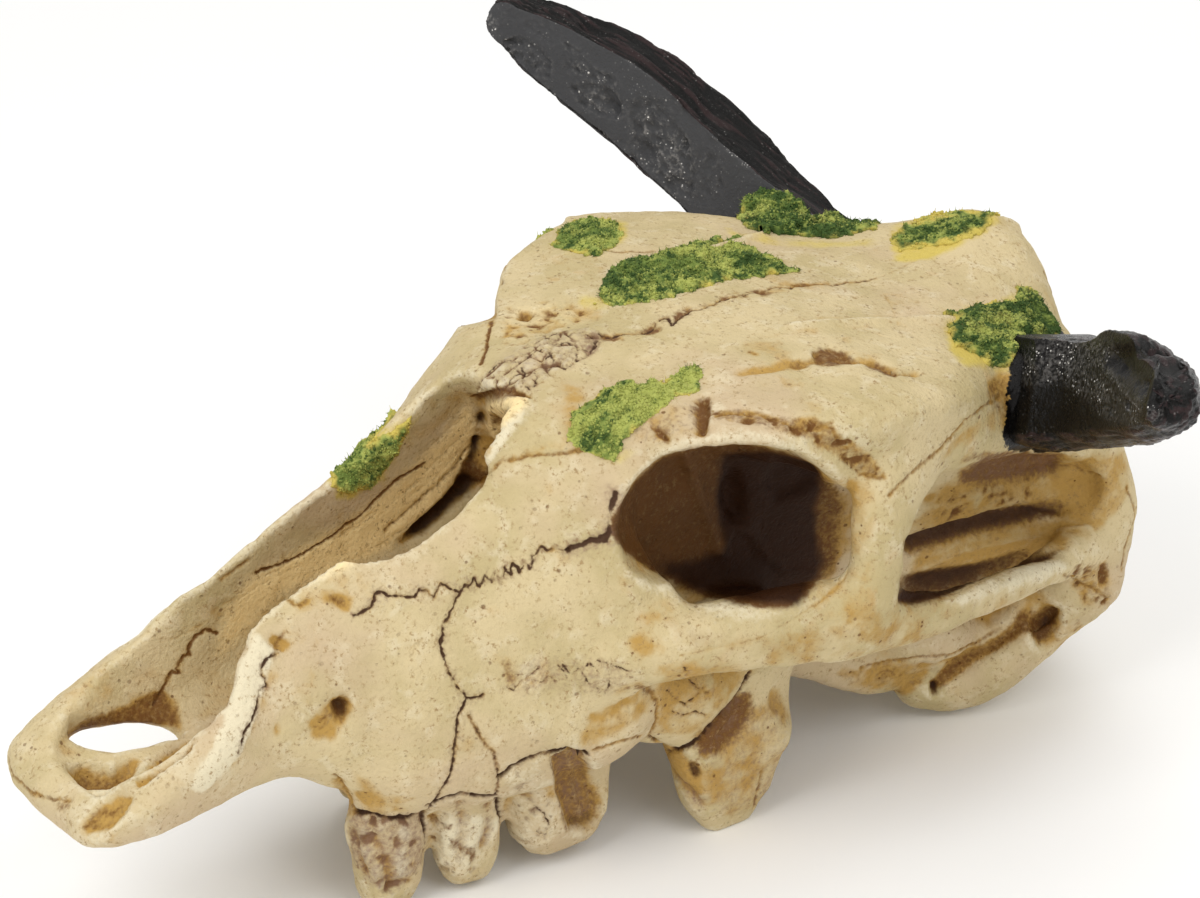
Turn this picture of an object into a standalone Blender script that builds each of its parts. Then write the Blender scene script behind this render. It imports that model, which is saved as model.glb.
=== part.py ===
"""A water buffalo skull ornament, cast in resin, with two glued horns and raised moss pads.

It stands on its front teeth, its rear molars and the two ridges under the braincase. Sizes in
the tables are millimetres. X is the skull's left side, the snout points along -Y and Z is up.
The tables count Y from the tip of the snout and Z from the floor.
"""

import math

import bmesh
import bpy
import numpy as np
from mathutils import Matrix, Vector
from mathutils.bvhtree import BVHTree
from mathutils.noise import noise

MM = 0.001

# Where the middle of the length and the lowest foot lie in the tables
ORIGIN_Y = 121.66
FLOOR_Z = -0.87
GAP = 0.3

# Sizes of the clay grid, the smoothing and the triangle budgets
CLAY_VOXEL = 1.5
CLAY_SMOOTHING = 5
CARVED_VOXEL = 1.3
CARVED_SMOOTHING = 3
SKULL_TRIANGLES = 9000

# The thin cut that parts the jaw from the cranium: a point on it, and its lean from the vertical
PART_LINE = (133.0, 58.0)
PART_LEAN = -34.0

# The block round the free stretch of the left cheekbone and its bar to the brow, which are a piece
# of their own: its low and high corners
ARCH_BLOCK = ((39.0, 100.0, 20.0), (70.0, 214.0, 66.0))

# The face, as half sections: y, floor z and half width, cheek z and half width, top z and half width
FACE = (
    (-0.5, 36.0, 9.0, 38.0, 13.0, 40.0, 9.0),
    (3.0, 35.0, 13.0, 38.5, 19.5, 42.5, 15.5),
    (11.0, 35.0, 14.5, 40.0, 20.5, 47.0, 17.5),
    (24.0, 35.5, 13.5, 43.0, 20.5, 53.5, 17.5),
    (36.0, 36.0, 12.5, 46.0, 19.5, 58.5, 15.0),
    (47.0, 34.5, 13.0, 47.0, 20.5, 68.0, 12.5),
    (57.0, 28.5, 17.0, 47.0, 23.5, 72.0, 13.5),
    (67.0, 22.5, 21.0, 47.0, 27.5, 75.0, 15.0),
    (82.0, 21.0, 24.0, 48.0, 32.0, 80.0, 17.0),
    (96.0, 21.0, 27.0, 50.0, 36.0, 87.5, 20.0),
    (108.0, 23.0, 29.0, 53.0, 39.0, 93.0, 27.0),
    (118.0, 28.0, 28.0, 56.0, 39.0, 95.0, 34.0),
)

# How far the right brow sits behind the left one
BROW_SET_BACK = 10.5

# The open nose, with the same columns; its roof is above the face until the forehead closes it
NOSE = (
    (5.0, 43.0, 3.0, 45.0, 7.0, 62.0, 13.0),
    (11.0, 41.5, 7.0, 46.0, 12.0, 68.0, 17.0),
    (24.0, 41.0, 9.0, 48.0, 14.0, 76.0, 17.0),
    (37.0, 41.0, 9.0, 52.0, 14.0, 84.0, 12.0),
    (48.0, 41.0, 9.0, 54.0, 14.5, 92.0, 9.0),
    (66.0, 42.0, 9.0, 57.0, 16.5, 96.0, 7.5),
    (82.0, 43.0, 10.0, 60.0, 18.5, 99.0, 8.0),
    (94.0, 44.0, 10.0, 63.0, 19.0, 101.0, 9.0),
    (101.0, 46.0, 10.0, 66.0, 18.0, 95.0, 11.0),
    (108.0, 50.0, 9.0, 67.0, 16.0, 86.0, 11.0),
    (118.0, 56.0, 7.0, 68.0, 12.0, 80.0, 7.0),
    (126.0, 62.0, 4.0, 68.0, 7.0, 74.0, 4.0),
)

# The vault between the tooth rows
PALATE = (
    (48.0, 20.0, 6.0, 28.0, 5.0, 33.0, 3.0),
    (60.0, 5.0, 9.0, 22.0, 10.0, 32.0, 6.0),
    (80.0, 3.0, 12.0, 20.0, 14.0, 32.0, 8.0),
    (105.0, 3.0, 14.0, 20.0, 16.0, 32.0, 10.0),
    (125.0, 5.0, 15.0, 20.0, 17.0, 34.0, 10.0),
    (140.0, 10.0, 12.0, 24.0, 14.0, 36.0, 8.0),
    (150.0, 22.0, 6.0, 28.0, 8.0, 34.0, 5.0),
)

# The forehead plate: y, underside z and half width, edge z and half width, crown z and half width
FOREHEAD = (
    (100.0, 86.0, 8.0, 90.0, 14.0, 94.0, 9.0),
    (108.0, 84.0, 20.0, 90.0, 26.0, 95.5, 21.0),
    (118.0, 83.0, 32.0, 91.5, 38.0, 97.5, 32.0),
    (130.0, 84.0, 38.0, 93.0, 47.0, 99.0, 40.0),
    (146.0, 80.0, 40.0, 91.0, 54.0, 99.5, 44.0),
    (162.0, 76.0, 40.0, 89.0, 55.0, 98.5, 45.0),
    (178.0, 72.0, 40.0, 86.0, 52.0, 96.0, 42.0),
    (194.0, 68.0, 38.0, 81.0, 47.0, 93.5, 32.0),
    (208.0, 66.0, 34.0, 80.0, 42.0, 93.0, 19.0),
    (221.0, 66.0, 30.0, 80.0, 31.0, 95.0, 11.0),
    (230.0, 70.0, 22.0, 83.0, 21.0, 95.5, 9.5),
    (236.5, 77.0, 10.0, 86.0, 11.0, 92.5, 6.0),
)

# The braincase behind the nose, between the two temporal hollows
BRAINCASE = (
    (112.0, 40.0, 14.0, 62.0, 20.0, 90.0, 18.0),
    (125.0, 36.0, 15.0, 62.0, 21.0, 92.0, 20.0),
    (145.0, 31.0, 15.0, 58.0, 20.0, 92.0, 22.0),
    (165.0, 26.0, 16.0, 54.0, 23.0, 90.0, 26.0),
    (185.0, 20.0, 17.0, 50.0, 27.0, 86.0, 30.0),
    (205.0, 17.0, 19.0, 46.0, 30.0, 84.0, 31.0),
    (220.0, 18.0, 22.0, 44.0, 35.5, 80.0, 33.0),
    (231.0, 24.0, 25.0, 44.0, 40.0, 76.0, 30.0),
    (238.0, 30.0, 18.0, 46.0, 32.0, 72.0, 22.0),
)

# Limbs of the left side: x, y, z, half thickness and half height at each station
CHEEKBONE = (
    (31.0, 94.0, 50.0, 4.0, 4.0),
    (37.0, 106.0, 51.5, 5.5, 7.0),
    (44.0, 120.0, 54.0, 5.5, 7.5),
    (49.5, 136.0, 54.5, 5.0, 9.0),
    (52.5, 152.0, 52.0, 4.8, 9.0),
    (52.5, 167.0, 48.0, 4.2, 6.5),
    (50.0, 188.0, 44.5, 4.0, 4.2),
    (45.0, 206.0, 41.5, 4.0, 4.2),
    (40.5, 220.0, 38.5, 5.0, 6.0),
    (36.5, 229.0, 37.0, 5.0, 6.0),
)
ORBIT_BAR = (
    (46.0, 182.0, 86.0, 4.5, 7.0),
    (50.5, 166.0, 83.5, 5.0, 10.5),
    (53.5, 157.5, 76.5, 5.0, 8.0),
    (55.0, 155.0, 68.0, 4.5, 6.0),
    (55.0, 153.5, 58.0, 4.5, 7.5),
    (54.0, 153.0, 50.0, 4.5, 9.0),
)
EAR_RIDGE = (
    (23.5, 194.0, 6.5, 5.5, 5.5),
    (25.5, 203.5, 6.5, 6.5, 7.0),
    (30.0, 215.0, 15.5, 7.0, 8.5),
    (35.0, 227.0, 29.5, 6.5, 9.0),
    (37.0, 231.5, 43.5, 5.0, 8.0),
    (35.0, 230.0, 58.0, 4.0, 6.0),
)
NASAL_SPIKE = (
    (14.0, 114.0, 95.0, 3.5, 3.5),
    (14.5, 104.0, 91.5, 3.0, 3.0),
    (14.5, 96.0, 88.0, 1.8, 2.2),
)
WING_BONE = (
    (15.0, 138.0, 36.0, 3.5, 7.0),
    (17.0, 155.0, 30.0, 3.5, 8.0),
    (19.0, 172.0, 21.5, 4.0, 7.0),
    (21.0, 185.0, 14.0, 4.5, 6.5),
    (22.0, 194.0, 15.0, 4.0, 5.0),
)

# Rounded masses of the left side: centre, radii and turn about Z in degrees
MASSES = (
    ((29.0, 124.0, 36.0), (9.0, 15.0, 13.0), -12.0),
    ((27.5, 141.0, 39.0), (10.5, 15.5, 10.0), -4.0),
    ((40.0, 204.0, 81.0), (10.5, 14.0, 11.0), 0.0),
    ((10.5, 236.5, 27.0), (7.5, 7.5, 9.5), 20.0),
    ((22.0, 196.0, 20.0), (9.0, 13.0, 9.0), 0.0),
)

# Slots in the palate of the snout: right through on the right, shallow on the left
RIGHT_SLIT = ((-13.0, 13.0, 39.0, 2.0, 8.0), (-9.5, 22.0, 39.0, 3.8, 8.0), (-6.5, 33.0, 39.0, 2.4, 8.0))
LEFT_SLIT = ((7.0, 20.0, 43.0, 1.8, 4.5), (7.5, 26.0, 43.0, 2.4, 4.5), (6.0, 34.0, 43.0, 1.6, 4.5))
LEFT_HOLLOW = ((5.5, 11.5, 43.0), (4.2, 4.0, 4.5))

# The hole for the spinal cord, and the ear hole under the cheekbone's root
SPINE_HOLE = ((0.0, 243.0, 37.0), (7.5, 12.0, 7.0))
EAR_HOLE = ((39.0, 214.0, 25.0), (7.0, 4.0, 5.0))

# The eye socket's mouth and the hollow behind it
ORBIT_CENTRE = (47.0, 125.5, 78.5)
ORBIT_RADII = (26.0, 22.5, 17.0)
ORBIT_TURN = -26.0
ORBIT_TIP = -8.0

# The hollow beside the braincase, seen through the gap above the cheekbone
TEMPLE = (
    (44.0, 170.0, 62.0, 6.0, 12.0),
    (42.0, 184.0, 60.0, 8.0, 13.0),
    (40.0, 200.0, 57.0, 8.0, 12.0),
    (38.5, 215.0, 53.0, 6.5, 9.0),
    (38.0, 224.0, 51.0, 4.0, 6.0),
)

# Teeth of the left side: y, x, half length, half width, root z, foot z, lean back, lean out, taper
TEETH = (
    (65.5, 17.0, 7.8, 6.0, 30.0, -0.9, 0.5, -2.0, 0.22),
    (81.5, 19.0, 7.4, 6.2, 30.0, 0.5, 1.0, -1.0, 0.22),
    (101.5, 22.0, 12.0, 7.5, 32.0, 3.0, 1.0, -1.0, 0.18),
    (138.0, 28.5, 16.5, 8.5, 41.0, -0.9, 0.0, 2.0, 0.55),
)
# On the right side the front tooth is a stump, as nothing of it shows below the jaw
STUMP_FOOT = 17.0

# A hollow at the back of the third tooth, and the notch between the two prongs of the snout
TOOTH_HOLLOW = ((30.5, 109.5, 15.0), (4.0, 6.0, 12.0))
SNOUT_NOTCH = ((6.0, -3.0, 34.5), (1.8, 5.0, 4.5))

# The horns: x, y, z, half breadth along the skull and half height
HORN = (
    (34.0, 211.0, 82.0, 8.0, 8.0),
    (40.0, 210.0, 84.0, 12.0, 11.0),
    (48.0, 208.5, 86.5, 13.5, 12.0),
    (62.0, 205.5, 93.0, 13.5, 11.5),
    (82.0, 198.0, 104.0, 12.5, 10.5),
    (98.0, 188.5, 112.5, 10.0, 8.5),
    (106.5, 182.5, 117.0, 6.5, 5.5),
)

# The left horn sits a little lower than the right one
LEFT_HORN_DROP = 3.0

# The flat face that runs along each horn, on the left one: its outward direction, and how far from
# the horn's axis it lies, as a share of the half breadth
HORN_FLAT = (-0.49, -0.81, 0.30)
HORN_FLAT_SHARE = 0.62

# Moss pads: name, centre, half length, half width, turn about Z from +Y in degrees, height and sink
MOSS = (
    ("moss_brow_right", (-38.0, 152.0, 99.0), 9.0, 7.5, 0.0, 2.2, 2.0),
    ("moss_forehead", (-13.5, 161.0, 99.0), 25.0, 8.5, 5.0, 2.4, 2.5),
    ("moss_horn_right", (-29.0, 203.0, 93.0), 15.0, 9.0, -25.0, 3.0, 3.5),
    ("moss_poll", (-4.5, 218.5, 96.0), 11.0, 7.0, -20.0, 2.0, 2.5),
    ("moss_horn_left", (30.0, 205.0, 92.0), 16.0, 9.0, 35.0, 2.8, 4.0),
    ("moss_brow_left", (27.0, 118.0, 97.0), 16.0, 7.0, -5.0, 2.4, 3.0),
    ("moss_muzzle_right", (-19.5, 83.0, 86.0), 11.0, 4.5, 0.0, 2.4, 3.0),
)

SECTION_POINTS = 5
SECTION_STEPS = 5
LENGTH_STEPS = 4


def place(x, y, z):
    """A point of the tables, as metres in the model's frame."""
    return Vector((x * MM, (y - ORIGIN_Y) * MM, (z - FLOOR_Z) * MM))


def through(points, steps, closed=False):
    """A smooth Catmull-Rom line of values through the given rows, with that many steps between two rows."""
    rows = np.array(points, float)
    count = len(rows)
    spans = count if closed else count - 1
    out = []
    for i in range(spans):
        if closed:
            a, b, c, d = (rows[(i + k) % count] for k in (-1, 0, 1, 2))
        else:
            a, b, c, d = (rows[min(max(i + k, 0), count - 1)] for k in (-1, 0, 1, 2))
        for t in np.arange(steps) / steps:
            out.append(
                0.5
                * (
                    2 * b
                    + (c - a) * t
                    + (2 * a - 5 * b + 4 * c - d) * t**2
                    + (3 * b - a - 3 * c + d) * t**3
                )
            )
    if not closed:
        out.append(rows[-1])
    return np.array(out)


def loft(name, rings):
    """A closed mesh through rings of points, with a fan of faces over each end."""
    mesh = bmesh.new()
    loops = [[mesh.verts.new(point) for point in ring] for ring in rings]
    count = len(rings[0])
    for first, second in zip(loops, loops[1:]):
        for i in range(count):
            j = (i + 1) % count
            mesh.faces.new((first[i], first[j], second[j], second[i]))
    for loop in (loops[0], loops[-1]):
        hub = mesh.verts.new(sum((v.co for v in loop), Vector()) / count)
        for i in range(count):
            mesh.faces.new((loop[i], loop[(i + 1) % count], hub))
    bmesh.ops.recalc_face_normals(mesh, faces=mesh.faces)
    return finish(name, mesh)


def finish(name, mesh):
    """An object in the clay collection made from a bmesh."""
    data = bpy.data.meshes.new(name)
    mesh.to_mesh(data)
    mesh.free()
    obj = bpy.data.objects.new(name, data)
    bpy.context.scene.collection.objects.link(obj)
    return obj


def section_body(name, table):
    """A body symmetric about x = 0 from rows of half sections."""
    rings = []
    for y, low_z, low_w, mid_z, mid_w, top_z, top_w in through(table, LENGTH_STEPS):
        half = ((low_w, low_z), (mid_w, mid_z), (top_w, top_z))
        outline = [(-x, z) for x, z in half] + [(x, z) for x, z in reversed(half)]
        ring = through(outline, SECTION_STEPS, closed=True)
        rings.append([place(x, y, z) for x, z in ring])
    return loft(name, rings)


def limb(name, table, side=1, sides=12, lay=(1, 0, 0), flat=None):
    """A bent tapering limb: ellipses across a smooth line, laid along an axis, with rounded ends.

    With a flat direction and share, the rings are cut flat on that side.
    """
    rows = through(table, LENGTH_STEPS)
    centres = [place(side * x, y, z) for x, y, z, _, _ in rows]
    rings = []
    for i, (x, y, z, thick, tall) in enumerate(rows):
        along = (centres[min(i + 1, len(rows) - 1)] - centres[max(i - 1, 0)]).normalized()
        across = Vector(lay)
        across = (across - along * along.dot(across)).normalized()
        upward = along.cross(across).normalized()
        rings.append(ellipse(centres[i], across, upward, thick, tall, sides))
        if i in (0, len(rows) - 1):
            sign = -1 if i == 0 else 1
            ends = rounded_end(centres[i], along * sign, across, upward, thick, tall, sides)
            rings = ends[::-1] + rings if i == 0 else rings + ends
    if flat:
        rings = [flattened(ring, Vector(flat[0]), flat[1]) for ring in rings]
    return loft(name, rings)


def flattened(ring, direction, share):
    """A ring cut flat on the side that faces a direction, at a share of its reach that way."""
    centre = sum(ring, Vector()) / len(ring)
    along = (ring[0] - centre).cross(ring[len(ring) // 4] - centre).normalized()
    outward = (direction - along * direction.dot(along)).normalized()
    reach = share * max((point - centre).dot(outward) for point in ring)
    return [point - outward * max((point - centre).dot(outward) - reach, 0.0) for point in ring]


def ellipse(centre, across, upward, thick, tall, sides):
    """The points of one elliptical ring."""
    turn = 2 * math.pi / sides
    return [
        centre + across * (thick * MM * math.cos(i * turn)) + upward * (tall * MM * math.sin(i * turn))
        for i in range(sides)
    ]


def rounded_end(centre, outward, across, upward, thick, tall, sides):
    """Two shrinking rings beyond the end of a limb."""
    reach = min(thick, tall) * MM
    rings = []
    for turn in (math.radians(35), math.radians(68)):
        share = math.cos(turn)
        rings.append(
            ellipse(
                centre + outward * (reach * math.sin(turn)),
                across,
                upward,
                thick * share,
                tall * share,
                sides,
            )
        )
    return rings


def ball(name, centre, radii, turn=0.0, tip=0.0, side=1):
    """An ellipsoid from a primitive sphere, turned about Z and tipped about Y."""
    mesh = bmesh.new()
    bmesh.ops.create_uvsphere(mesh, u_segments=20, v_segments=12, radius=1.0)
    x, y, z = centre
    matrix = (
        Matrix.Translation(place(side * x, y, z))
        @ Matrix.Rotation(math.radians(side * turn), 4, "Z")
        @ Matrix.Rotation(math.radians(side * tip), 4, "Y")
        @ Matrix.Diagonal((*(r * MM for r in radii), 1.0))
    )
    bmesh.ops.transform(mesh, matrix=matrix, verts=mesh.verts)
    return finish(name, mesh)


def tooth(name, row, side):
    """A two-lobed cheek tooth with a waist on its outer face, worn round at the foot."""
    y, x, half_length, half_width, root_z, foot_z, back, outward, taper = row
    if side < 0 and row is TEETH[0]:
        foot_z = STUMP_FOOT
    sides = 20
    rings = []
    for share in np.linspace(0, 1, 7):
        z = root_z + (foot_z - root_z) * share
        grow = 1.0 - taper * share**2
        if share > 0.99:
            grow *= 0.72
        ring = []
        for i in range(sides):
            turn = 2 * math.pi * i / sides
            lobes = 1.0 - 0.13 * math.cos(turn) ** 2 * math.cos(2 * turn) ** 2
            dx = half_width * grow * lobes * math.copysign(abs(math.cos(turn)) ** 0.75, math.cos(turn))
            dy = half_length * grow * math.copysign(abs(math.sin(turn)) ** 0.75, math.sin(turn))
            ring.append(place(side * (x + outward * share + dx), y + back * share + dy, z))
        rings.append(ring)
    return loft(name, rings)


def set_back_right_brow(obj):
    """Move the right brow back a little, since the cast is not quite even."""
    for vertex in obj.data.vertices:
        x, y = vertex.co.x / MM, vertex.co.y / MM + ORIGIN_Y
        if x < 0:
            reach = min(-x / 40.0, 1.0) ** 2
            vertex.co.y += BROW_SET_BACK * MM * reach * math.exp(-(((y - 122.0) / 26.0) ** 2))


def join(name, objects):
    """Several closed meshes as one object, still overlapping."""
    mesh = bmesh.new()
    for obj in objects:
        mesh.from_mesh(obj.data)
        bpy.data.objects.remove(obj)
    return finish(name, mesh)


def applied(obj):
    """The object with its modifiers applied to its mesh."""
    graph = bpy.context.evaluated_depsgraph_get()
    data = bpy.data.meshes.new_from_object(obj.evaluated_get(graph))
    obj.modifiers.clear()
    obj.data = data
    return obj


def remesh(obj, voxel, smoothing):
    """One skin round all the clay, evened out by a few smoothing passes."""
    skin = obj.modifiers.new("one_skin", "REMESH")
    skin.mode = "VOXEL"
    skin.voxel_size = voxel * MM
    soften = obj.modifiers.new("soften", "SMOOTH")
    soften.factor = 0.5
    soften.iterations = smoothing
    return applied(obj)


def boolean(obj, other, operation, solver="EXACT"):
    """The object with the other one cut from it or joined to it; the other one is removed."""
    change = obj.modifiers.new(operation.lower(), "BOOLEAN")
    change.operation = operation
    change.solver = solver
    change.object = other
    applied(obj)
    bpy.data.objects.remove(other)
    return obj


def both_sides(make):
    """What make(side) builds, on the left side and on the right."""
    return [make(side) for side in (1, -1)]


def clay_pieces():
    """All the overlapping masses of bone and tooth."""
    pieces = [
        section_body("face", FACE),
        section_body("forehead", FOREHEAD),
        section_body("braincase", BRAINCASE),
    ]
    for name, table in (
        ("cheekbone", CHEEKBONE),
        ("orbit_bar", ORBIT_BAR),
        ("ear_ridge", EAR_RIDGE),
        ("wing_bone", WING_BONE),
    ):
        pieces += both_sides(lambda side: limb(name, table, side))
    pieces.append(limb("nasal_spike", NASAL_SPIKE))
    for centre, radii, turn in MASSES:
        pieces += both_sides(lambda side: ball("mass", centre, radii, turn, side=side))
    return pieces


def hollow_pieces():
    """Cutters for the nose, the palate, the eye sockets and the temples."""
    pieces = [section_body("nose", NOSE), section_body("palate", PALATE)]
    pieces += both_sides(lambda side: ball("orbit", ORBIT_CENTRE, ORBIT_RADII, ORBIT_TURN, ORBIT_TIP, side))
    pieces += both_sides(lambda side: limb("temple", TEMPLE, side))
    pieces += [limb("slit", table) for table in (RIGHT_SLIT, LEFT_SLIT)]
    pieces.append(ball("hollow", *LEFT_HOLLOW))
    pieces.append(ball("snout_notch", *SNOUT_NOTCH))
    pieces.append(ball("spine_hole", *SPINE_HOLE))
    pieces += both_sides(lambda side: ball("ear_hole", *EAR_HOLE, side=side))
    return pieces


def build_skull():
    """The whole skull as one skin, thinned out to its triangle budget."""
    skull = join("skull", clay_pieces())
    remesh(skull, CLAY_VOXEL, CLAY_SMOOTHING)
    for cutter in hollow_pieces():
        boolean(skull, cutter, "DIFFERENCE", "MANIFOLD")
    set_back_right_brow(skull)
    teeth = [tooth("tooth", row, side) for row in TEETH for side in (1, -1)]
    for side, third in zip((1, -1), teeth[4:6]):
        boolean(third, ball("tooth_hollow", *TOOTH_HOLLOW, side=side), "DIFFERENCE", "MANIFOLD")
    skull = join("skull", [skull, *teeth])
    remesh(skull, CARVED_VOXEL, CARVED_SMOOTHING)
    keep_largest(skull)
    thin = skull.modifiers.new("thin", "DECIMATE")
    thin.ratio = SKULL_TRIANGLES / triangles(skull)
    return applied(skull)


def triangles(obj):
    """The number of triangles in the object's mesh."""
    return sum(len(face.vertices) - 2 for face in obj.data.polygons)


def keep_largest(obj):
    """Drop every loose shell but the one with the most faces."""
    mesh = bmesh.new()
    mesh.from_mesh(obj.data)
    left = set(mesh.faces)
    shells = []
    while left:
        shell = [left.pop()]
        for face in shell:
            near = {f for e in face.edges for f in e.link_faces} & left
            left -= near
            shell += near
        shells.append(shell)
    shells.sort(key=len)
    for shell in shells[:-1]:
        bmesh.ops.delete(mesh, geom=shell, context="FACES")
    mesh.to_mesh(obj.data)
    mesh.free()


def copied(obj, name):
    """An independent copy of an object."""
    twin = bpy.data.objects.new(name, obj.data.copy())
    bpy.context.scene.collection.objects.link(twin)
    return twin


def grown(obj, margin):
    """A copy of the object that is larger by the margin all round."""
    twin = copied(obj, "grown")
    swell = twin.modifiers.new("swell", "DISPLACE")
    swell.mid_level = 0.0
    swell.strength = margin * MM
    return applied(twin)


def horn(side):
    """One horn: a blunt, bent and tapering limb with a flat face along its front."""
    name = "horn_left" if side > 0 else "horn_right"
    drop = LEFT_HORN_DROP if side > 0 else 0.0
    table = [(x, y, z - drop, broad, tall) for x, y, z, broad, tall in HORN]
    x, y, z = HORN_FLAT
    return limb(name, table, side, sides=20, lay=(0, 1, 0), flat=((side * x, y, z), HORN_FLAT_SHARE))


def half_space(name, behind):
    """A large block behind or before the thin cut between jaw and cranium."""
    y, z = PART_LINE
    lean = Matrix.Rotation(math.radians(-PART_LEAN), 4, "X")
    shift = (200.0 - GAP / 2) * (1 if behind else -1)
    mesh = bmesh.new()
    bmesh.ops.create_cube(mesh, size=400.0 * MM)
    matrix = Matrix.Translation(place(0, y, z)) @ lean @ Matrix.Translation((0, shift * MM, 0))
    bmesh.ops.transform(mesh, matrix=matrix, verts=mesh.verts)
    return finish(name, mesh)


def arch_block(side, margin):
    """The block round one cheekbone, larger by the margin all round."""
    low, high = (Vector(corner) for corner in ARCH_BLOCK)
    middle, size = (low + high) / 2, high - low
    mesh = bmesh.new()
    bmesh.ops.create_cube(mesh, size=1.0)
    scale = Matrix.Diagonal((*((length + 2 * margin) * MM for length in size), 1.0))
    matrix = Matrix.Translation(place(side * middle.x, middle.y, middle.z)) @ scale
    bmesh.ops.transform(mesh, matrix=matrix, verts=mesh.verts)
    return finish("block", mesh)


def cheekbone(skull, side):
    """Part one cheekbone's free stretch from the cranium."""
    piece = copied(skull, "cheekbone_left" if side > 0 else "cheekbone_right")
    boolean(piece, arch_block(side, -GAP / 2), "INTERSECT", "MANIFOLD")
    boolean(skull, arch_block(side, GAP / 2), "DIFFERENCE", "MANIFOLD")
    return piece


def moss_pad(row, skull, hulls):
    """A lumpy lens of moss on the skull, hollowed underneath to clear the skull and the horns."""
    name, centre, half_length, half_width, turn, height, sink = row
    tree = BVHTree.FromObject(skull, bpy.context.evaluated_depsgraph_get())
    spot, normal, _, _ = tree.find_nearest(place(*centre))
    along = Matrix.Rotation(math.radians(turn), 3, "Z") @ Vector((0, 1, 0))
    along = (along - normal * along.dot(normal)).normalized()
    basis = Matrix((along.cross(normal), along, normal)).transposed().to_4x4()
    spread = 1.0 / math.sqrt(1.0 - (sink / (sink + height)) ** 2)
    mesh = bmesh.new()
    bmesh.ops.create_icosphere(mesh, subdivisions=3, radius=1.0)
    for vertex in mesh.verts:
        vertex.co *= 1.0 + 0.22 * noise(vertex.co * 1.7 + Vector(centre))
    size = Matrix.Diagonal((half_width * spread * MM, half_length * spread * MM, (sink + height) * MM, 1))
    matrix = Matrix.Translation(spot - normal * (sink * MM)) @ basis @ size
    bmesh.ops.transform(mesh, matrix=matrix, verts=mesh.verts)
    pad = finish(name, mesh)
    for hull in hulls:
        boolean(pad, copied(hull, "hull"), "DIFFERENCE", "MANIFOLD")
    keep_largest(pad)
    return pad


def material(name, colour, roughness):
    """A plain Principled material."""
    paint = bpy.data.materials.new(name)
    paint.use_nodes = True
    shader = paint.node_tree.nodes["Principled BSDF"]
    shader.inputs["Base Color"].default_value = (*colour, 1.0)
    shader.inputs["Roughness"].default_value = roughness
    return paint


def main():
    """Model the ornament and sort its pieces into their collection."""
    for obj in list(bpy.data.objects):
        bpy.data.objects.remove(obj)
    skull = build_skull()
    horns = both_sides(horn)
    for piece in horns:
        boolean(skull, grown(piece, GAP), "DIFFERENCE", "MANIFOLD")
    keep_largest(skull)
    hulls = [grown(skull, GAP), *(grown(piece, GAP) for piece in horns)]
    moss = [moss_pad(row, skull, hulls) for row in MOSS]
    for hull in hulls:
        bpy.data.objects.remove(hull)
    jaw = copied(skull, "upper_jaw")
    boolean(jaw, half_space("behind", True), "DIFFERENCE", "MANIFOLD")
    boolean(skull, half_space("before", False), "DIFFERENCE", "MANIFOLD")
    skull.name = "cranium"
    cheekbones = both_sides(lambda side: cheekbone(skull, side))
    for piece in (jaw, skull, *cheekbones):
        keep_largest(piece)

    group = bpy.data.collections.new("buffalo_skull_ornament")
    bpy.context.scene.collection.children.link(group)
    root = bpy.data.objects.new("ornament", None)
    group.objects.link(root)
    paints = {
        "bone": material("cast_bone", (0.66, 0.56, 0.36), 0.62),
        "horn": material("black_horn", (0.012, 0.011, 0.010), 0.38),
        "moss": material("moss", (0.10, 0.20, 0.03), 0.95),
    }
    for piece in (skull, jaw, *cheekbones, *horns, *moss):
        bpy.context.scene.collection.objects.unlink(piece)
        group.objects.link(piece)
        piece.parent = root
        piece.data.materials.clear()
        kind = piece.name.split("_")[0]
        piece.data.materials.append(paints.get(kind, paints["bone"]))
        piece.data.shade_smooth()
        piece.data.set_sharp_from_angle(angle=math.radians(50))


if __name__ == "__main__":
    main()
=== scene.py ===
"""A cast resin buffalo skull ornament with black horns and moss, dressed for its portrait.

The skull is one skin over the four solids of the casting. Sutures, cracks, pits and stains are
traced as x,y points of the portrait's picture, 1200 x 898, and cast through the camera onto it.
Depths, reaches and the horns' sizes are in millimetres.
"""

import logging
import math
from collections.abc import Callable, Iterable, Sequence
from dataclasses import dataclass, field
from enum import Enum
from typing import Any

import bmesh
import bpy
import numpy as np
from bpy.types import ID, Material, Node, NodeSocket as Socket, NodeTree, Object
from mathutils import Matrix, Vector, noise
from mathutils.bvhtree import BVHTree
from mathutils.kdtree import KDTree


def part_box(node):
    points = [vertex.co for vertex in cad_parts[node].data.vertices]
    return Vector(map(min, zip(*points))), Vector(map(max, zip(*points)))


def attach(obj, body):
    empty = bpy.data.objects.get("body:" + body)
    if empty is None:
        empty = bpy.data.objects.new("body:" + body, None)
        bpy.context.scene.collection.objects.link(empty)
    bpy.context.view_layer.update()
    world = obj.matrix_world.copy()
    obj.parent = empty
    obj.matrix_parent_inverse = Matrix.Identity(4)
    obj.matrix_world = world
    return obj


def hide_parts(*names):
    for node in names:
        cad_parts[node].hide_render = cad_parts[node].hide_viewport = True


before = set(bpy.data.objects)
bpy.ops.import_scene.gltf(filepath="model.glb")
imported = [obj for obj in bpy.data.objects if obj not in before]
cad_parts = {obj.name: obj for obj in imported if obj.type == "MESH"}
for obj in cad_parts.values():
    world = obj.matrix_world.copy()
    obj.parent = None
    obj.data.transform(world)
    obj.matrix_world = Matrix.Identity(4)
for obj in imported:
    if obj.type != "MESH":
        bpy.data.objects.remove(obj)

logging.basicConfig(level=logging.INFO, format="%(message)s")
LOG = logging.getLogger("ornament")

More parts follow.
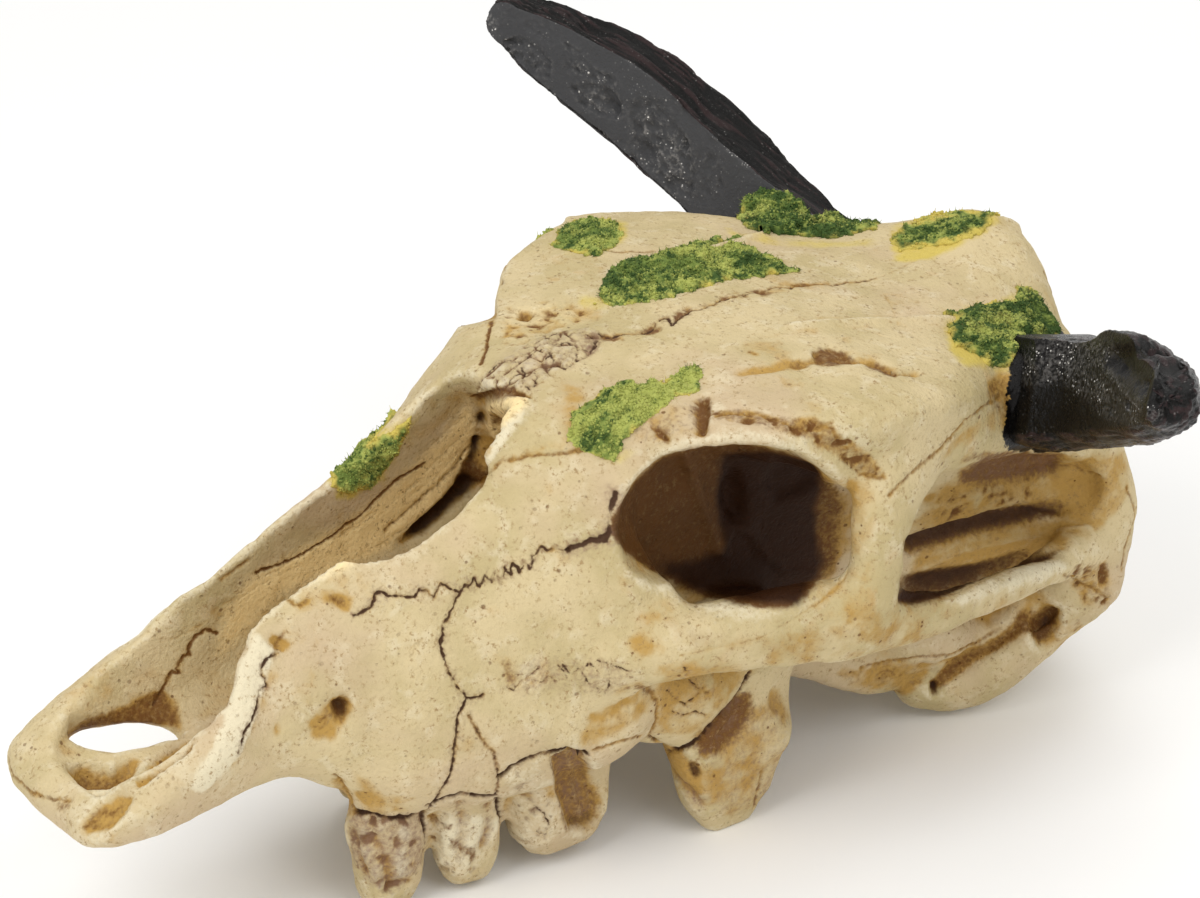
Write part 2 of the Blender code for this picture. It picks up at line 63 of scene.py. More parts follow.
MM = 0.001
PICTURE = (1200, 898)
CASTING = ("cranium", "upper_jaw", "cheekbone_left", "cheekbone_right")
# Without a seed of its own, noise.noise_vector takes one from the clock
NOISE_SEED = 7

Array = np.ndarray
Triple = tuple[float, float, float]
Pixels = tuple[tuple[float, float], ...]
Spot = tuple[Vector, Vector]


def pixels(text: str) -> Pixels:
    """The points of a traced line, written as x,y pairs."""
    return tuple(tuple(float(part) for part in pair.split(",")) for pair in text.split())


def smooth_step(values: Array) -> Array:
    """Values held between 0 and 1 and eased at both ends."""
    held = np.clip(values, 0.0, 1.0)
    return held * held * (3.0 - 2.0 * held)


@dataclass(frozen=True)
class Portrait:
    """The camera of the portrait."""

    target: Triple = (-0.005, 0.01034, 0.07187)
    azimuth: float = 54.0
    elevation: float = 28.0
    distance: float = 0.9
    lens: float = 135.0
    sensor: float = 36.0

    @property
    def back(self) -> Vector:
        """The unit direction from the target to the camera."""
        turn, rise = math.radians(self.azimuth), math.radians(self.elevation)
        return Vector((math.sin(turn) * math.cos(rise), -math.cos(turn) * math.cos(rise), math.sin(rise)))

    @property
    def right(self) -> Vector:
        """The picture's direction to the right."""
        turn = math.radians(self.azimuth)
        return Vector((math.cos(turn), math.sin(turn), 0.0))

    @property
    def up(self) -> Vector:
        """The picture's direction upwards."""
        return self.back.cross(self.right)

    @property
    def eye(self) -> Vector:
        """Where the camera stands."""
        return Vector(self.target) + self.back * self.distance

    def direction(self, x: float, y: float) -> Vector:
        """The direction in which the camera sees a point of the picture."""
        step = self.sensor / PICTURE[0]
        across = self.right * ((x - PICTURE[0] / 2) * step)
        down = self.up * ((y - PICTURE[1] / 2) * step)
        return (across - down - self.back * self.lens).normalized()

    def picture(self, points: Array) -> Array:
        """Where points in metres fall in the picture.

        Args:
            points: N rows of x, y, z.

        Returns:
            N rows of picture x, y.
        """
        rel = points - np.array(self.eye)
        depth = -rel @ np.array(self.back)
        scale = self.lens / self.sensor * PICTURE[0] / depth
        x = PICTURE[0] / 2 + rel @ np.array(self.right) * scale
        y = PICTURE[1] / 2 - rel @ np.array(self.up) * scale
        return np.stack((x, y), 1)

    def step(self, spot: Vector, across: float, down: float) -> Array:
        """The shift in millimetres that moves a point in millimetres by so much of the picture."""
        size = (self.eye / MM - spot).dot(self.back) * self.sensor / self.lens / PICTURE[0]
        return np.array(self.right * (across * size) - self.up * (down * size))

    def build(self) -> None:
        """Make the camera and use it."""
        data = bpy.data.cameras.new("portrait")
        data.lens = self.lens
        data.sensor_width = self.sensor
        data.clip_start = 0.01
        camera = new_object("portrait", data)
        camera.location = self.eye
        camera.rotation_mode = "QUATERNION"
        camera.rotation_quaternion = (-self.back).to_track_quat("-Z", "Y")
        bpy.context.scene.camera = camera


BEHIND = Portrait(azimuth=180.0, elevation=0.0)


def beyond(seen: Array, edge: Pixels, axis: int) -> Array:
    """How far points of the picture lie past a traced edge, to the right (axis 0) or downwards (1)."""
    return seen[:, axis] - np.interp(seen[:, 1 - axis], *np.array(edge).T)


def new_object(name: str, data: ID) -> Object:
    """A new object in the scene."""
    obj = bpy.data.objects.new(name, data)
    bpy.context.scene.collection.objects.link(obj)
    return obj


def hand_over(obj: Object, paint: Material, slot: str, *nodes: str) -> None:
    """Give a finished piece its material and its place in the frame."""
    obj.data.materials.clear()
    obj.data.materials.append(paint)
    obj.data.shade_smooth()
    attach(obj, "root")
    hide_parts(*nodes)


class Tree:
    """A node tree that is filled step by step."""

    def __init__(self, tree: NodeTree) -> None:
        """Start from an empty tree."""
        self.tree = tree
        tree.nodes.clear()

    def join(self, value: Any, socket: Socket) -> None:
        """Link an output to a socket, or set the socket to a plain value."""
        if isinstance(value, Socket):
            self.tree.links.new(value, socket)
        else:
            socket.default_value = value

    def add(self, kind: str, settings: dict[str, Any] | None = None, **sockets: Any) -> Node:
        """Add a node.

        Args:
            kind: The node's type name.
            settings: Attributes of the node itself.
            **sockets: Values or outputs by input name, with underscores for spaces.

        Returns:
            The new node.
        """
        node = self.tree.nodes.new(kind)
        for name, value in (settings or {}).items():
            setattr(node, name, value)
        for name, value in sockets.items():
            self.join(value, node.inputs[name.replace("_", " ")])
        return node

    def math(self, operation: str, *values: Any) -> Socket:
        """The result of a Math node on the values."""
        node = self.add("ShaderNodeMath", {"operation": operation})
        for value, socket in zip(values, node.inputs):
            self.join(value, socket)
        return node.outputs[0]

    def total(self, start: Any, *parts: tuple[Any, float]) -> Any:
        """A value plus others, each times its share."""
        for value, share in parts:
            start = self.math("MULTIPLY_ADD", value, share, start)
        return start

    def mix(self, factor: Any, first: Any, second: Any) -> Socket:
        """One colour laid over another by a factor."""
        node = self.add("ShaderNodeMix", {"data_type": "RGBA"})
        for value, index in ((factor, 0), (first, 6), (second, 7)):
            if isinstance(value, tuple):
                value = (*value, 1.0)
            self.join(value, node.inputs[index])
        return node.outputs[2]

    def band(self, value: Any, low: float, high: float, top: float = 1.0) -> Socket:
        """A smooth step of a value from 0 at low to top at high."""
        node = self.add("ShaderNodeMapRange", {"interpolation_type": "SMOOTHSTEP"})
        for index, entry in enumerate((value, low, high, 0.0, top)):
            self.join(entry, node.inputs[index])
        return node.outputs[0]

    def noise(self, place: Any, scale: float, detail: float = 3.0, rough: float = 0.55) -> Socket:
        """The height of a Noise texture."""
        node = self.add("ShaderNodeTexNoise", Vector=place, Scale=scale, Detail=detail, Roughness=rough)
        return node.outputs[0]

    def attribute(self, name: str) -> Socket:
        """The value of a mesh attribute."""
        return self.add("ShaderNodeAttribute", {"attribute_name": name}).outputs["Fac"]

    def here(self) -> Socket:
        """Object coordinates."""
        return self.add("ShaderNodeTexCoord").outputs["Object"]

    def surface(self, colour: Any, roughness: Any, specular: float, height: Any, strength: float) -> None:
        """End a material's tree in a shader, with a bump of a height and a strength."""
        bump = self.add("ShaderNodeBump", Height=height, Strength=strength, Distance=0.4 * MM)
        shader = self.add(
            "ShaderNodeBsdfPrincipled",
            Base_Color=colour,
            Roughness=roughness,
            Specular_IOR_Level=specular,
            Normal=bump.outputs[0],
        )
        self.add("ShaderNodeOutputMaterial", Surface=shader.outputs[0])


def new_material(name: str) -> tuple[Material, Tree]:
    """An empty node material and its tree."""
    paint = bpy.data.materials.new(name)
    paint.use_nodes = True
    return paint, Tree(paint.node_tree)


class Effects:
    """Shader groups that several finishes share."""

    def __init__(self) -> None:
        """Build the groups once."""
        self.mottle = self.build_mottle()
        self.specks = self.build_specks()

    @staticmethod
    def group(name: str, inputs: Sequence[tuple[str, float]], outputs: Sequence[str]) -> Tree:
        """A new group with float inputs and outputs; the coordinates come from the object."""
        tree = bpy.data.node_groups.new(name, "ShaderNodeTree")
        for title, value in inputs:
            socket = tree.interface.new_socket(title, in_out="INPUT", socket_type="NodeSocketFloat")
            socket.default_value = value
        for title in outputs:
            tree.interface.new_socket(title, in_out="OUTPUT", socket_type="NodeSocketFloat")
        return Tree(tree)

    def build_mottle(self) -> NodeTree:
        """Cloudy patches at three sizes: large, middle and fine."""
        tree = self.group("mottle", (("Scale", 60.0), ("Warp", 0.004)), ("Large", "Middle", "Fine"))
        entry = tree.add("NodeGroupInput")
        leave = tree.add("NodeGroupOutput")
        place = tree.here()
        swirl = tree.add("ShaderNodeTexNoise", Vector=place, Scale=90.0, Detail=2.0)
        shift = tree.add("ShaderNodeVectorMath", {"operation": "SCALE"})
        tree.join(swirl.outputs["Color"], shift.inputs[0])
        tree.join(entry.outputs["Warp"], shift.inputs["Scale"])
        warped = tree.add("ShaderNodeVectorMath", {"operation": "ADD"})
        tree.join(place, warped.inputs[0])
        tree.join(shift.outputs[0], warped.inputs[1])
        for name, factor, detail in (("Large", 1.0, 4.0), ("Middle", 4.3, 5.0), ("Fine", 19.0, 4.0)):
            scale = tree.math("MULTIPLY", entry.outputs["Scale"], factor)
            tree.join(tree.noise(warped.outputs[0], scale, detail), leave.inputs[name])
        return tree.tree

    def build_specks(self) -> NodeTree:
        """Scattered small dots, thicker in some places than in others."""
        tree = self.group("specks", (("Scale", 900.0), ("Share", 0.3)), ("Mask",))
        entry = tree.add("NodeGroupInput")
        leave = tree.add("NodeGroupOutput")
        place = tree.here()
        cells = tree.add("ShaderNodeTexVoronoi", Vector=place, Scale=entry.outputs["Scale"], Randomness=1.0)
        pick = tree.add("ShaderNodeSeparateColor", Color=cells.outputs["Color"])
        crowd = tree.noise(place, 130.0, 2.0)
        limit = tree.math("MULTIPLY", entry.outputs["Share"], tree.band(crowd, 0.35, 0.7, 1.6))
        chosen = tree.math("LESS_THAN", pick.outputs[0], limit)
        size = tree.total(0.75, (pick.outputs[1], 1.4))
        dot = tree.band(tree.math("MULTIPLY", cells.outputs["Distance"], size), 0.42, 0.18)
        tree.join(tree.math("MULTIPLY", chosen, dot), leave.inputs["Mask"])
        return tree.tree


@dataclass(frozen=True)
class BoneFinish:
    """Painted ivory resin: cream with ochre washes, brown specks and inked lines, with painted shade in
    shut-in places and gold painting light onto the shaded inner wall of the nose.
    """

    cream: Triple = (0.605, 0.490, 0.280)
    sand: Triple = (0.490, 0.395, 0.200)
    blush: Triple = (0.550, 0.415, 0.270)
    pale: Triple = (0.73, 0.65, 0.46)
    # gold: a golden wash; on the nose's inner wall it is painted light that lifts the wall out of its shade
    gold: Triple = (0.90, 0.70, 0.36)
    ochre: Triple = (0.44, 0.26, 0.060)
    rust: Triple = (0.135, 0.052, 0.010)
    # umber: dark wash, partly painted shade in the orbit, the deep slots and the pits, and painted shade on
    # the arch's underside
    umber: Triple = (0.024, 0.0065, 0.0010)
    lilac: Triple = (0.235, 0.140, 0.090)
    ink: Triple = (0.060, 0.026, 0.012)
    grain: Triple = (0.30, 0.185, 0.070)
    moss_edge: Triple = (0.58, 0.45, 0.09)
    black: Triple = (0.0030, 0.0022, 0.0018)
    roughness: float = 0.62

    def material(self, effects: Effects) -> Material:
        """Build the finish.

        Args:
            effects: The shared shader groups.

        Returns:
            The bone's material.
        """
        paint, tree = new_material("cast_bone")
        mottle = tree.add("ShaderNodeGroup", {"node_tree": effects.mottle}, Scale=55.0, Warp=0.004)
        large, middle, fine = (mottle.outputs[name] for name in ("Large", "Middle", "Fine"))
        dots = tree.add("ShaderNodeGroup", {"node_tree": effects.specks}, Scale=900.0, Share=0.12)

        def ragged(layer: str, cloud: Any, amount: float) -> Socket:
            """A painted layer whose edge is broken up by a cloud."""
            return tree.total(tree.attribute(layer), (tree.math("SUBTRACT", cloud, 0.5), amount))

        place = tree.here()
        colour = tree.mix(tree.band(large, 0.36, 0.66), self.cream, self.sand)
        colour = tree.mix(tree.band(tree.noise(place, 26.0, 3.0), 0.46, 0.68, 0.7), colour, self.blush)
        colour = tree.mix(tree.band(middle, 0.5, 0.72, 0.5), colour, self.pale)
        colour = tree.mix(tree.band(ragged("pale", fine, 0.8), 0.15, 0.85, 0.9), colour, self.pale)
        # Gold wash, painted light where it lies on the nose's shaded inner wall
        colour = tree.mix(tree.band(ragged("gold", fine, 0.6), 0.1, 0.9), colour, self.gold)
        worn = ragged("ochre", middle, 1.3)
        # Painted shade: shut-in points (deep) take more ochre over the ochre stains; gold, painted light on
        # the nose's inner wall, takes some back
        worn = tree.total(worn, (tree.attribute("deep"), 0.30), (tree.attribute("gold"), -0.4))
        smudge = tree.band(tree.noise(place, 62.0, 5.0, 0.65), 0.50, 0.72, 0.42)
        colour = tree.mix(tree.band(tree.math("ADD", worn, smudge), 0.12, 0.9, 0.95), colour, self.ochre)
        colour = tree.mix(tree.band(ragged("rust", fine, 0.9), 0.2, 0.85, 0.95), colour, self.rust)
        sand_grain = tree.band(tree.noise(place, 1000.0, 5.0, 0.75), 0.52, 0.66, 0.85)
        sand_grain = tree.math("MULTIPLY", sand_grain, tree.band(middle, 0.34, 0.60))
        colour = tree.mix(sand_grain, colour, self.grain)
        stipple = tree.math("MULTIPLY", dots.outputs["Mask"], tree.band(worn, -0.25, 0.4, 0.8))
        colour = tree.mix(stipple, colour, self.rust)
        colour = tree.mix(tree.band(ragged("lilac", fine, 0.9), 0.12, 0.9, 0.95), colour, self.lilac)
        # Umber: dark wash and painted shade, darker than the sunk slots and the orbit's depth alone would
        # make them
        colour = tree.mix(tree.band(ragged("umber", middle, 0.25), 0.15, 0.8, 0.97), colour, self.umber)
        colour = tree.mix(tree.band(ragged("halo", middle, 0.8), 0.25, 0.8, 0.9), colour, self.moss_edge)
        colour = tree.mix(tree.band(ragged("ink", fine, 0.45), 0.2, 0.65, 0.96), colour, self.ink)
        painted = tree.band(ragged("smear", fine, 1.1), 0.4, 0.55)
        colour = tree.mix(painted, colour, self.black)
        pores = tree.noise(place, 1500.0, 3.0, 0.7)
        grit = tree.noise(place, 420.0, 4.0, 0.65)
        height = tree.total(fine, (pores, 0.6), (grit, 1.1), (middle, 1.0), (dots.outputs["Mask"], -0.6))
        tree.surface(colour, tree.total(self.roughness, (painted, -0.30)), 0.17, height, 0.7)
        return paint


@dataclass(frozen=True)
class HornFinish:
    """Black paint: dull grey on the worn flat face, glossy elsewhere, worn pale on the pits' edges; painted
    glints all over, and a painted sheen on the near horn's top and ridge.
    """

    grey: Triple = (0.050, 0.050, 0.052)
    black: Triple = (0.004, 0.0036, 0.0032)
    brown: Triple = (0.027, 0.0135, 0.0135)
    # Pale grey of wear on edges and scars, and of the painted sheen on the near horn
    rubbed_and_sheen: Triple = (0.20, 0.19, 0.18)
    # Near-white of the painted glints
    painted_glint: Triple = (0.60, 0.58, 0.55)

    def material(self, effects: Effects) -> Material:
        """Build the finish.

        Args:
            effects: The shared shader groups.

        Returns:
            The horns' material.
        """
        paint, tree = new_material("black_horn")
        mottle = tree.add("ShaderNodeGroup", {"node_tree": effects.mottle}, Scale=70.0, Warp=0.003)
        dots = tree.add("ShaderNodeGroup", {"node_tree": effects.specks}, Scale=1700.0, Share=0.30)
        large, middle, fine = (mottle.outputs[name] for name in ("Large", "Middle", "Fine"))
        flat = tree.attribute("flat")
        dark = tree.mix(tree.band(tree.attribute("grain"), 0.5, 0.85, 0.8), self.black, self.brown)
        worn = tree.total(flat, (tree.math("SUBTRACT", fine, 0.5), 0.5))
        colour = tree.mix(tree.band(worn, 0.3, 0.7), dark, self.grey)
        # Partly wear on edges, scars and pale spots, partly painted highlight: the sheen along the near
        # horn's top and its lit ridge
        rubbed_and_sheen = tree.attribute("rubbed_and_sheen")
        thin = tree.math("MULTIPLY", rubbed_and_sheen, tree.band(fine, 0.40, 0.70, 0.9))
        colour = tree.mix(thin, colour, self.rubbed_and_sheen)
        # Painted glints: tiny near-white dots over the whole horn, thickest on worn edges and on the near
        # horn's painted sheen and ridge highlight
        painted_glints = tree.total(0.05, (rubbed_and_sheen, 2.2))
        colour = tree.mix(tree.math("MULTIPLY", dots.outputs["Mask"], painted_glints), colour, self.painted_glint)
        shine = tree.total(0.50, (large, 0.2), (tree.attribute("gloss"), -0.32))
        grit = tree.noise(tree.here(), 1300.0, 3.0, 0.7)
        tree.surface(colour, shine, 0.16, tree.total(middle, (fine, 0.9), (grit, 0.35)), 0.75)
        return paint


@dataclass(frozen=True)
class MossFinish:
    """Flocked moss: deep green hollows, bright tips and yellow fringes."""

    deep: Triple = (0.045, 0.085, 0.018)
    green: Triple = (0.160, 0.220, 0.045)
    bright: Triple = (0.42, 0.45, 0.110)
    yellow: Triple = (0.60, 0.47, 0.100)
    brown: Triple = (0.18, 0.10, 0.035)

    def material(self, effects: Effects) -> Material:
        """Build the finish.

        Args:
            effects: The shared shader groups.

        Returns:
            The moss's material.
        """
        paint, tree = new_material("moss")
        mottle = tree.add("ShaderNodeGroup", {"node_tree": effects.mottle}, Scale=88.0, Warp=0.006)
        large, middle, fine = (mottle.outputs[name] for name in ("Large", "Middle", "Fine"))
        brush = tree.add("ShaderNodeMapping", Vector=tree.here(), Scale=(1.0, 0.28, 1.0))
        brush.inputs["Rotation"].default_value = (0.0, 0.0, 0.6)
        strokes = tree.noise(brush.outputs[0], 330.0, 4.0, 0.6)
        tone = tree.total(-0.885, (tree.attribute("shade"), 0.22), (tree.attribute("light"), 1.0))
        tone = tree.total(tone, (strokes, 0.55))
        colour = tree.mix(tree.band(tree.math("ADD", middle, tone), 0.34, 0.58), self.deep, self.green)
        light = tree.total(tone, (large, 0.95), (middle, 0.45))
        colour = tree.mix(tree.band(light, 0.60, 0.84, 0.9), colour, self.bright)
        edge = tree.math("ADD", tree.attribute("fringe"), tree.math("SUBTRACT", middle, 0.5))
        colour = tree.mix(tree.band(edge, 0.5, 1.05, 0.9), colour, self.yellow)
        colour = tree.mix(tree.band(tree.math("MULTIPLY", fine, large), 0.33, 0.42, 0.45), colour, self.brown)
        tree.surface(colour, 0.85, 0.25, fine, 0.9)
        return paint


def search_tree(rows: Array) -> KDTree:
    """A search tree over rows of points."""
    search = KDTree(len(rows))
    for index, row in enumerate(rows):
        search.insert(row, index)
    search.balance()
    return search


def gaps(points: Array, rows: Array, reach: float) -> tuple[Array, Array]:
    """How far points lie from the nearest of some rows.

    Args:
        points: N points.
        rows: The points to be near to.
        reach: Points further away than this count as out of reach.

    Returns:
        N distances, 1e6 where out of reach, and the index of the nearest row.
    """
    search = search_tree(rows)
    distance = np.full(len(points), 1e6)
    which = np.zeros(len(points), int)
    weights = np.array((1, 4096, 4096 * 4096))
    steps = np.array([(i, j, k) for i in (-1, 0, 1) for j in (-1, 0, 1) for k in (-1, 0, 1)])
    cells = np.unique(np.floor(rows / reach).astype(int), axis=0)
    close = np.unique((cells[:, None, :] + steps) @ weights)
    for index in np.flatnonzero(np.isin(np.floor(points / reach).astype(int) @ weights, close)):
        _, found, gap = search.find(points[index])
        if gap < reach:
            distance[index] = gap
            which[index] = found
    return distance, which


@dataclass
class Skin:
    """A triangle mesh held as arrays, in millimetres, while it is carved and painted."""

    obj: Object
    points: Array = field(init=False)
    normals: Array = field(init=False)
    edges: Array = field(init=False)

    def __post_init__(self) -> None:
        """Read the mesh."""
        self.read()

    def read(self) -> None:
        """Take the points, normals and edges from the mesh."""
        mesh = self.obj.data
        count = len(mesh.vertices)
        flat = np.empty(count * 3, np.float32)
        mesh.vertices.foreach_get("co", flat)
        self.points = flat.reshape(-1, 3).astype(float) / MM
        mesh.vertex_normals.foreach_get("vector", flat)
        self.normals = flat.reshape(-1, 3).astype(float)
        pairs = np.empty(len(mesh.edges) * 2, np.int32)
        mesh.edges.foreach_get("vertices", pairs)
        self.edges = pairs.reshape(-1, 2)

    def shift(self, amount: Array, way: Vector) -> None:
        """Move each point by its amount along a way, and smooth what has moved."""
        self.points += amount[:, None] * way
        near = smooth_step(self.averaged(amount, 3) / 3.0)[:, None]
        self.points += (self.averaged(self.points, 3) - self.points) * near
        self.write()

    def write(self) -> None:
        """Put the points back and read the new normals."""
        mesh = self.obj.data
        mesh.vertices.foreach_set("co", (self.points * MM).astype(np.float32).ravel())
        mesh.update()
        self.read()

    def push(self, amount: Array) -> None:
        """Move every point out along its normal by so many millimetres."""
        self.points += self.normals * amount[:, None]
        self.write()

    def averaged(self, values: Array, passes: int = 1) -> Array:
        """Values evened out over each point's neighbours.

        Args:
            values: One number or row for each point.
            passes: How often.

        Returns:
            The evened values.
        """
        a, b = self.edges.T
        count = len(self.points)
        degree = np.bincount(a, minlength=count) + np.bincount(b, minlength=count)
        columns = values.reshape(count, -1).astype(float)
        for _ in range(passes):
            total = np.empty_like(columns)
            for k in range(columns.shape[1]):
                total[:, k] = np.bincount(a, columns[b, k], count) + np.bincount(b, columns[a, k], count)
            columns = 0.5 * columns + 0.5 * total / degree[:, None]
        return columns.reshape(values.shape)

    def hollowness(self) -> Array:
        """How far each point lies below its neighbours, in millimetres; negative on edges."""
        return np.einsum("ij,ij->i", self.averaged(self.points, 2) - self.points, self.normals)

    def lumps(self, size: float, seed: float) -> Array:
        """Smooth noise between about -1 and 1, with lumps of a size in millimetres."""
        shift = Vector((seed, -seed, 2.7 * seed))
        return np.array([noise.noise(Vector(row) + shift) for row in self.points / size])

    def tree(self) -> BVHTree:
        """A search tree over the skin's triangles, in millimetres."""
        mesh = self.obj.data
        mesh.calc_loop_triangles()
        corners = np.empty(len(mesh.loop_triangles) * 3, np.int32)
        mesh.loop_triangles.foreach_get("vertices", corners)
        return BVHTree.FromPolygons(self.points.tolist(), corners.reshape(-1, 3).tolist())

    def nearest(self, rows: Array, facing: Array, reach: float) -> Array:
        """The distance from each point to the nearest of some sample points that face the same way.

        Args:
            rows: Sample points in millimetres.
            facing: The surface normals there.
            reach: Points further away than this count as out of reach.

        Returns:
            Distances, 1e6 where out of reach.
        """
        distance, which = gaps(self.points, rows, reach)
        away = np.einsum("ij,ij->i", self.normals, facing[which]) < 0.1
        distance[away] = 1e6
        return distance

    def refine(self, chosen: Callable[[Array, Array], Array], longest: float) -> None:
        """Split the long edges of a chosen part of the skin.

        Args:
            chosen: Says for edge middles and half lengths which of the edges lie in that part.
            longest: Edges longer than this, in millimetres, are split.
        """
        mesh = bmesh.new()
        mesh.from_mesh(self.obj.data)
        mesh.edges.ensure_lookup_table()
        a, b = self.points[self.edges[:, 0]], self.points[self.edges[:, 1]]
        length = np.linalg.norm(a - b, axis=1)
        picks = np.flatnonzero(length > longest)
        picks = picks[chosen((a[picks] + b[picks]) / 2, length[picks] / 2)]
        split = [mesh.edges[int(i)] for i in picks]
        bmesh.ops.subdivide_edges(mesh, edges=split, cuts=1, use_grid_fill=False)
        bmesh.ops.triangulate(mesh, faces=[face for face in mesh.faces if len(face.verts) > 3])
        mesh.to_mesh(self.obj.data)
        mesh.free()
        self.read()

    def values(self, name: str) -> Array:
        """A mesh attribute's number for each point."""
        flat = np.empty(len(self.points), np.float32)
        self.obj.data.attributes[name].data.foreach_get("value", flat)
        return flat.astype(float)

    def paint(self, name: str, values: Array) -> None:
        """Store one number a point as a mesh attribute."""
        layer = self.obj.data.attributes.get(name) or self.obj.data.attributes.new(name, "FLOAT", "POINT")
        layer.data.foreach_set("value", np.clip(values, 0.0, 1.0).astype(np.float32))


class Mark(Enum):
    """What a traced line is: half width, depth, ink, wash reach, lilac, rust, ochre."""

    SUTURE = (0.27, 0.60, 0.9, 2.0, 0.30, 0.45, 0.25)
    JOINT = (0.60, 0.80, 1.0, 2.6, 0.55, 0.35, 0.1)
    CRACK = (0.24, 0.40, 0.6, 1.2, 0.2, 0.6, 0.35)
    SCRIBBLE = (0.20, 0.40, 0.7, 1.4, 0.35, 0.4, 0.0)
    SEAM = (0.28, 0.45, 0.35, 1.0, 0.0, 0.95, 0.5)
    CREASE = (0.45, 0.45, 0.1, 1.3, 0.0, 0.55, 0.4)
    HAIR = (0.2, 0.15, 0.10, 0.6, 0.0, 0.4, 0.25)
    FURROW = (1.3, 0.8, 0.0, 2.2, 0.0, 0.25, 0.5)
    GROOVE = (1.4, 1.2, 0.25, 2.0, 0.3, 0.6, 0.0)
    STAIN = (1.6, 0.2, 0.0, 2.2, 0.0, 0.6, 0.5)
    TOOTH_GAP = (0.55, 1.5, 1.0, 1.6, 0.4, 0.6, 0.0)
    TOOTH_FLUTE = (1.2, 1.0, 0.2, 2.0, 0.5, 0.4, 0.0)
    RIDGE = (1.2, -0.9, 0.0, 0.1, 0.0, 0.0, 0.0)
    LIP = (0.8, -0.5, 0.0, 0.1, 0.0, 0.0, 0.0)
    PIT = (1.0, 1.6, 0.5, 1.6, 0.0, 0.9, 0.8)

    @property
    def fine(self) -> bool:
        """Whether the mark needs a finer mesh than the rest."""
        return self.value[0] < 0.7


Trace = tuple[Mark, Pixels]


def traces(text: str) -> tuple[Trace, ...]:
    """Traced lines, each written as its mark's name and its x,y pairs."""
    lines: list[tuple[Mark, list[str]]] = []
    for word in text.split():
        if word in Mark.__members__:
            lines.append((Mark[word], []))
        else:
            lines[-1][1].append(word)
    return tuple((mark, pixels(" ".join(words))) for mark, words in lines)


FACE_TRACES = traces("""
JOINT 607,535 598,540 590,540 583,545 575,547 568,550
SUTURE 568,550 555,549 548,550 540,547 537,553 532,556 534,563 530,568 524,562 520,572 513,563 511,575 505,568
 502,582 496,573 491,583 486,576 480,588 474,579 469,588 465,586 461,592 452,588 441,583 438,588 434,597
 425,590 420,589 415,597 405,597 396,596 388,596 382,592 375,593 374,600 372,605 365,611 358,614 352,615
STAIN 330,598 338,601 345,603
CREASE 306,602 300,605 293,605 288,600
SUTURE 461,592 458,598 453,606 449,618 443,626 443,635 440,645 443,655 447,667 452,678 460,690 467,699
SUTURE 467,699 478,697 484,694
SUTURE 467,699 463,708 458,716 457,730 455,745 453,760 451,772 446,783 438,795 430,808 425,815
CRACK 470,716 475,727 481,737 488,748 494,752 496,765 499,778 496,795
SCRIBBLE 508,688 514,691 522,681 528,677 540,668
SCRIBBLE 527,690 535,680 541,682 550,676 556,683
SCRIBBLE 558,665 564,672 568,681
SCRIBBLE 563,665 571,675 575,671 580,668 585,678 590,685
SCRIBBLE 582,670 590,662 598,672
SCRIBBLE 598,661 606,663 611,672 608,690 602,692 596,688
SCRIBBLE 611,664 620,668 630,672
STAIN 505,662 512,680
SUTURE 279,653 270,656 265,660 261,668 261,675 265,680 266,686 258,690 258,700 254,712 251,722 243,733 240,745
 237,752
PIT 338,707 344,712
STAIN 330,715 318,728
HAIR 405,656 417,642
HAIR 408,660 422,640
CREASE 275,648 280,640 284,631
FURROW 595,718 612,712 635,700 650,690
CREASE 595,752 610,745 625,740 640,735
CREASE 335,775 345,790 350,805 352,815
""")

INNER_TRACES = traces("""
SEAM 425,463 400,478 380,495 360,515 345,525 330,538 310,550 295,558 270,568 255,572
SEAM 218,633 205,630 198,634 192,640 188,648 190,655 183,655 180,662 176,668 180,673 172,672 167,680 162,690
 158,698 154,705
HAIR 215,610 225,603 235,598
HAIR 425,478 392,503 355,528 318,548
HAIR 440,500 405,528 372,548 345,562
HAIR 300,565 268,580 238,600
HAIR 395,498 352,527 304,554 262,578
HAIR 330,562 292,592 262,614
HAIR 458,455 434,478 410,497
HAIR 205,622 190,631 170,640
CREASE 222,580 235,570 248,560
CREASE 5,745 12,775 30,792 50,799 70,800
STAIN 58,806 66,808
STAIN 84,826 95,812 108,808 118,802
HAIR 155,811 165,805
LIP 70,745 90,752 110,757 140,750 165,744 190,735 225,712
""")

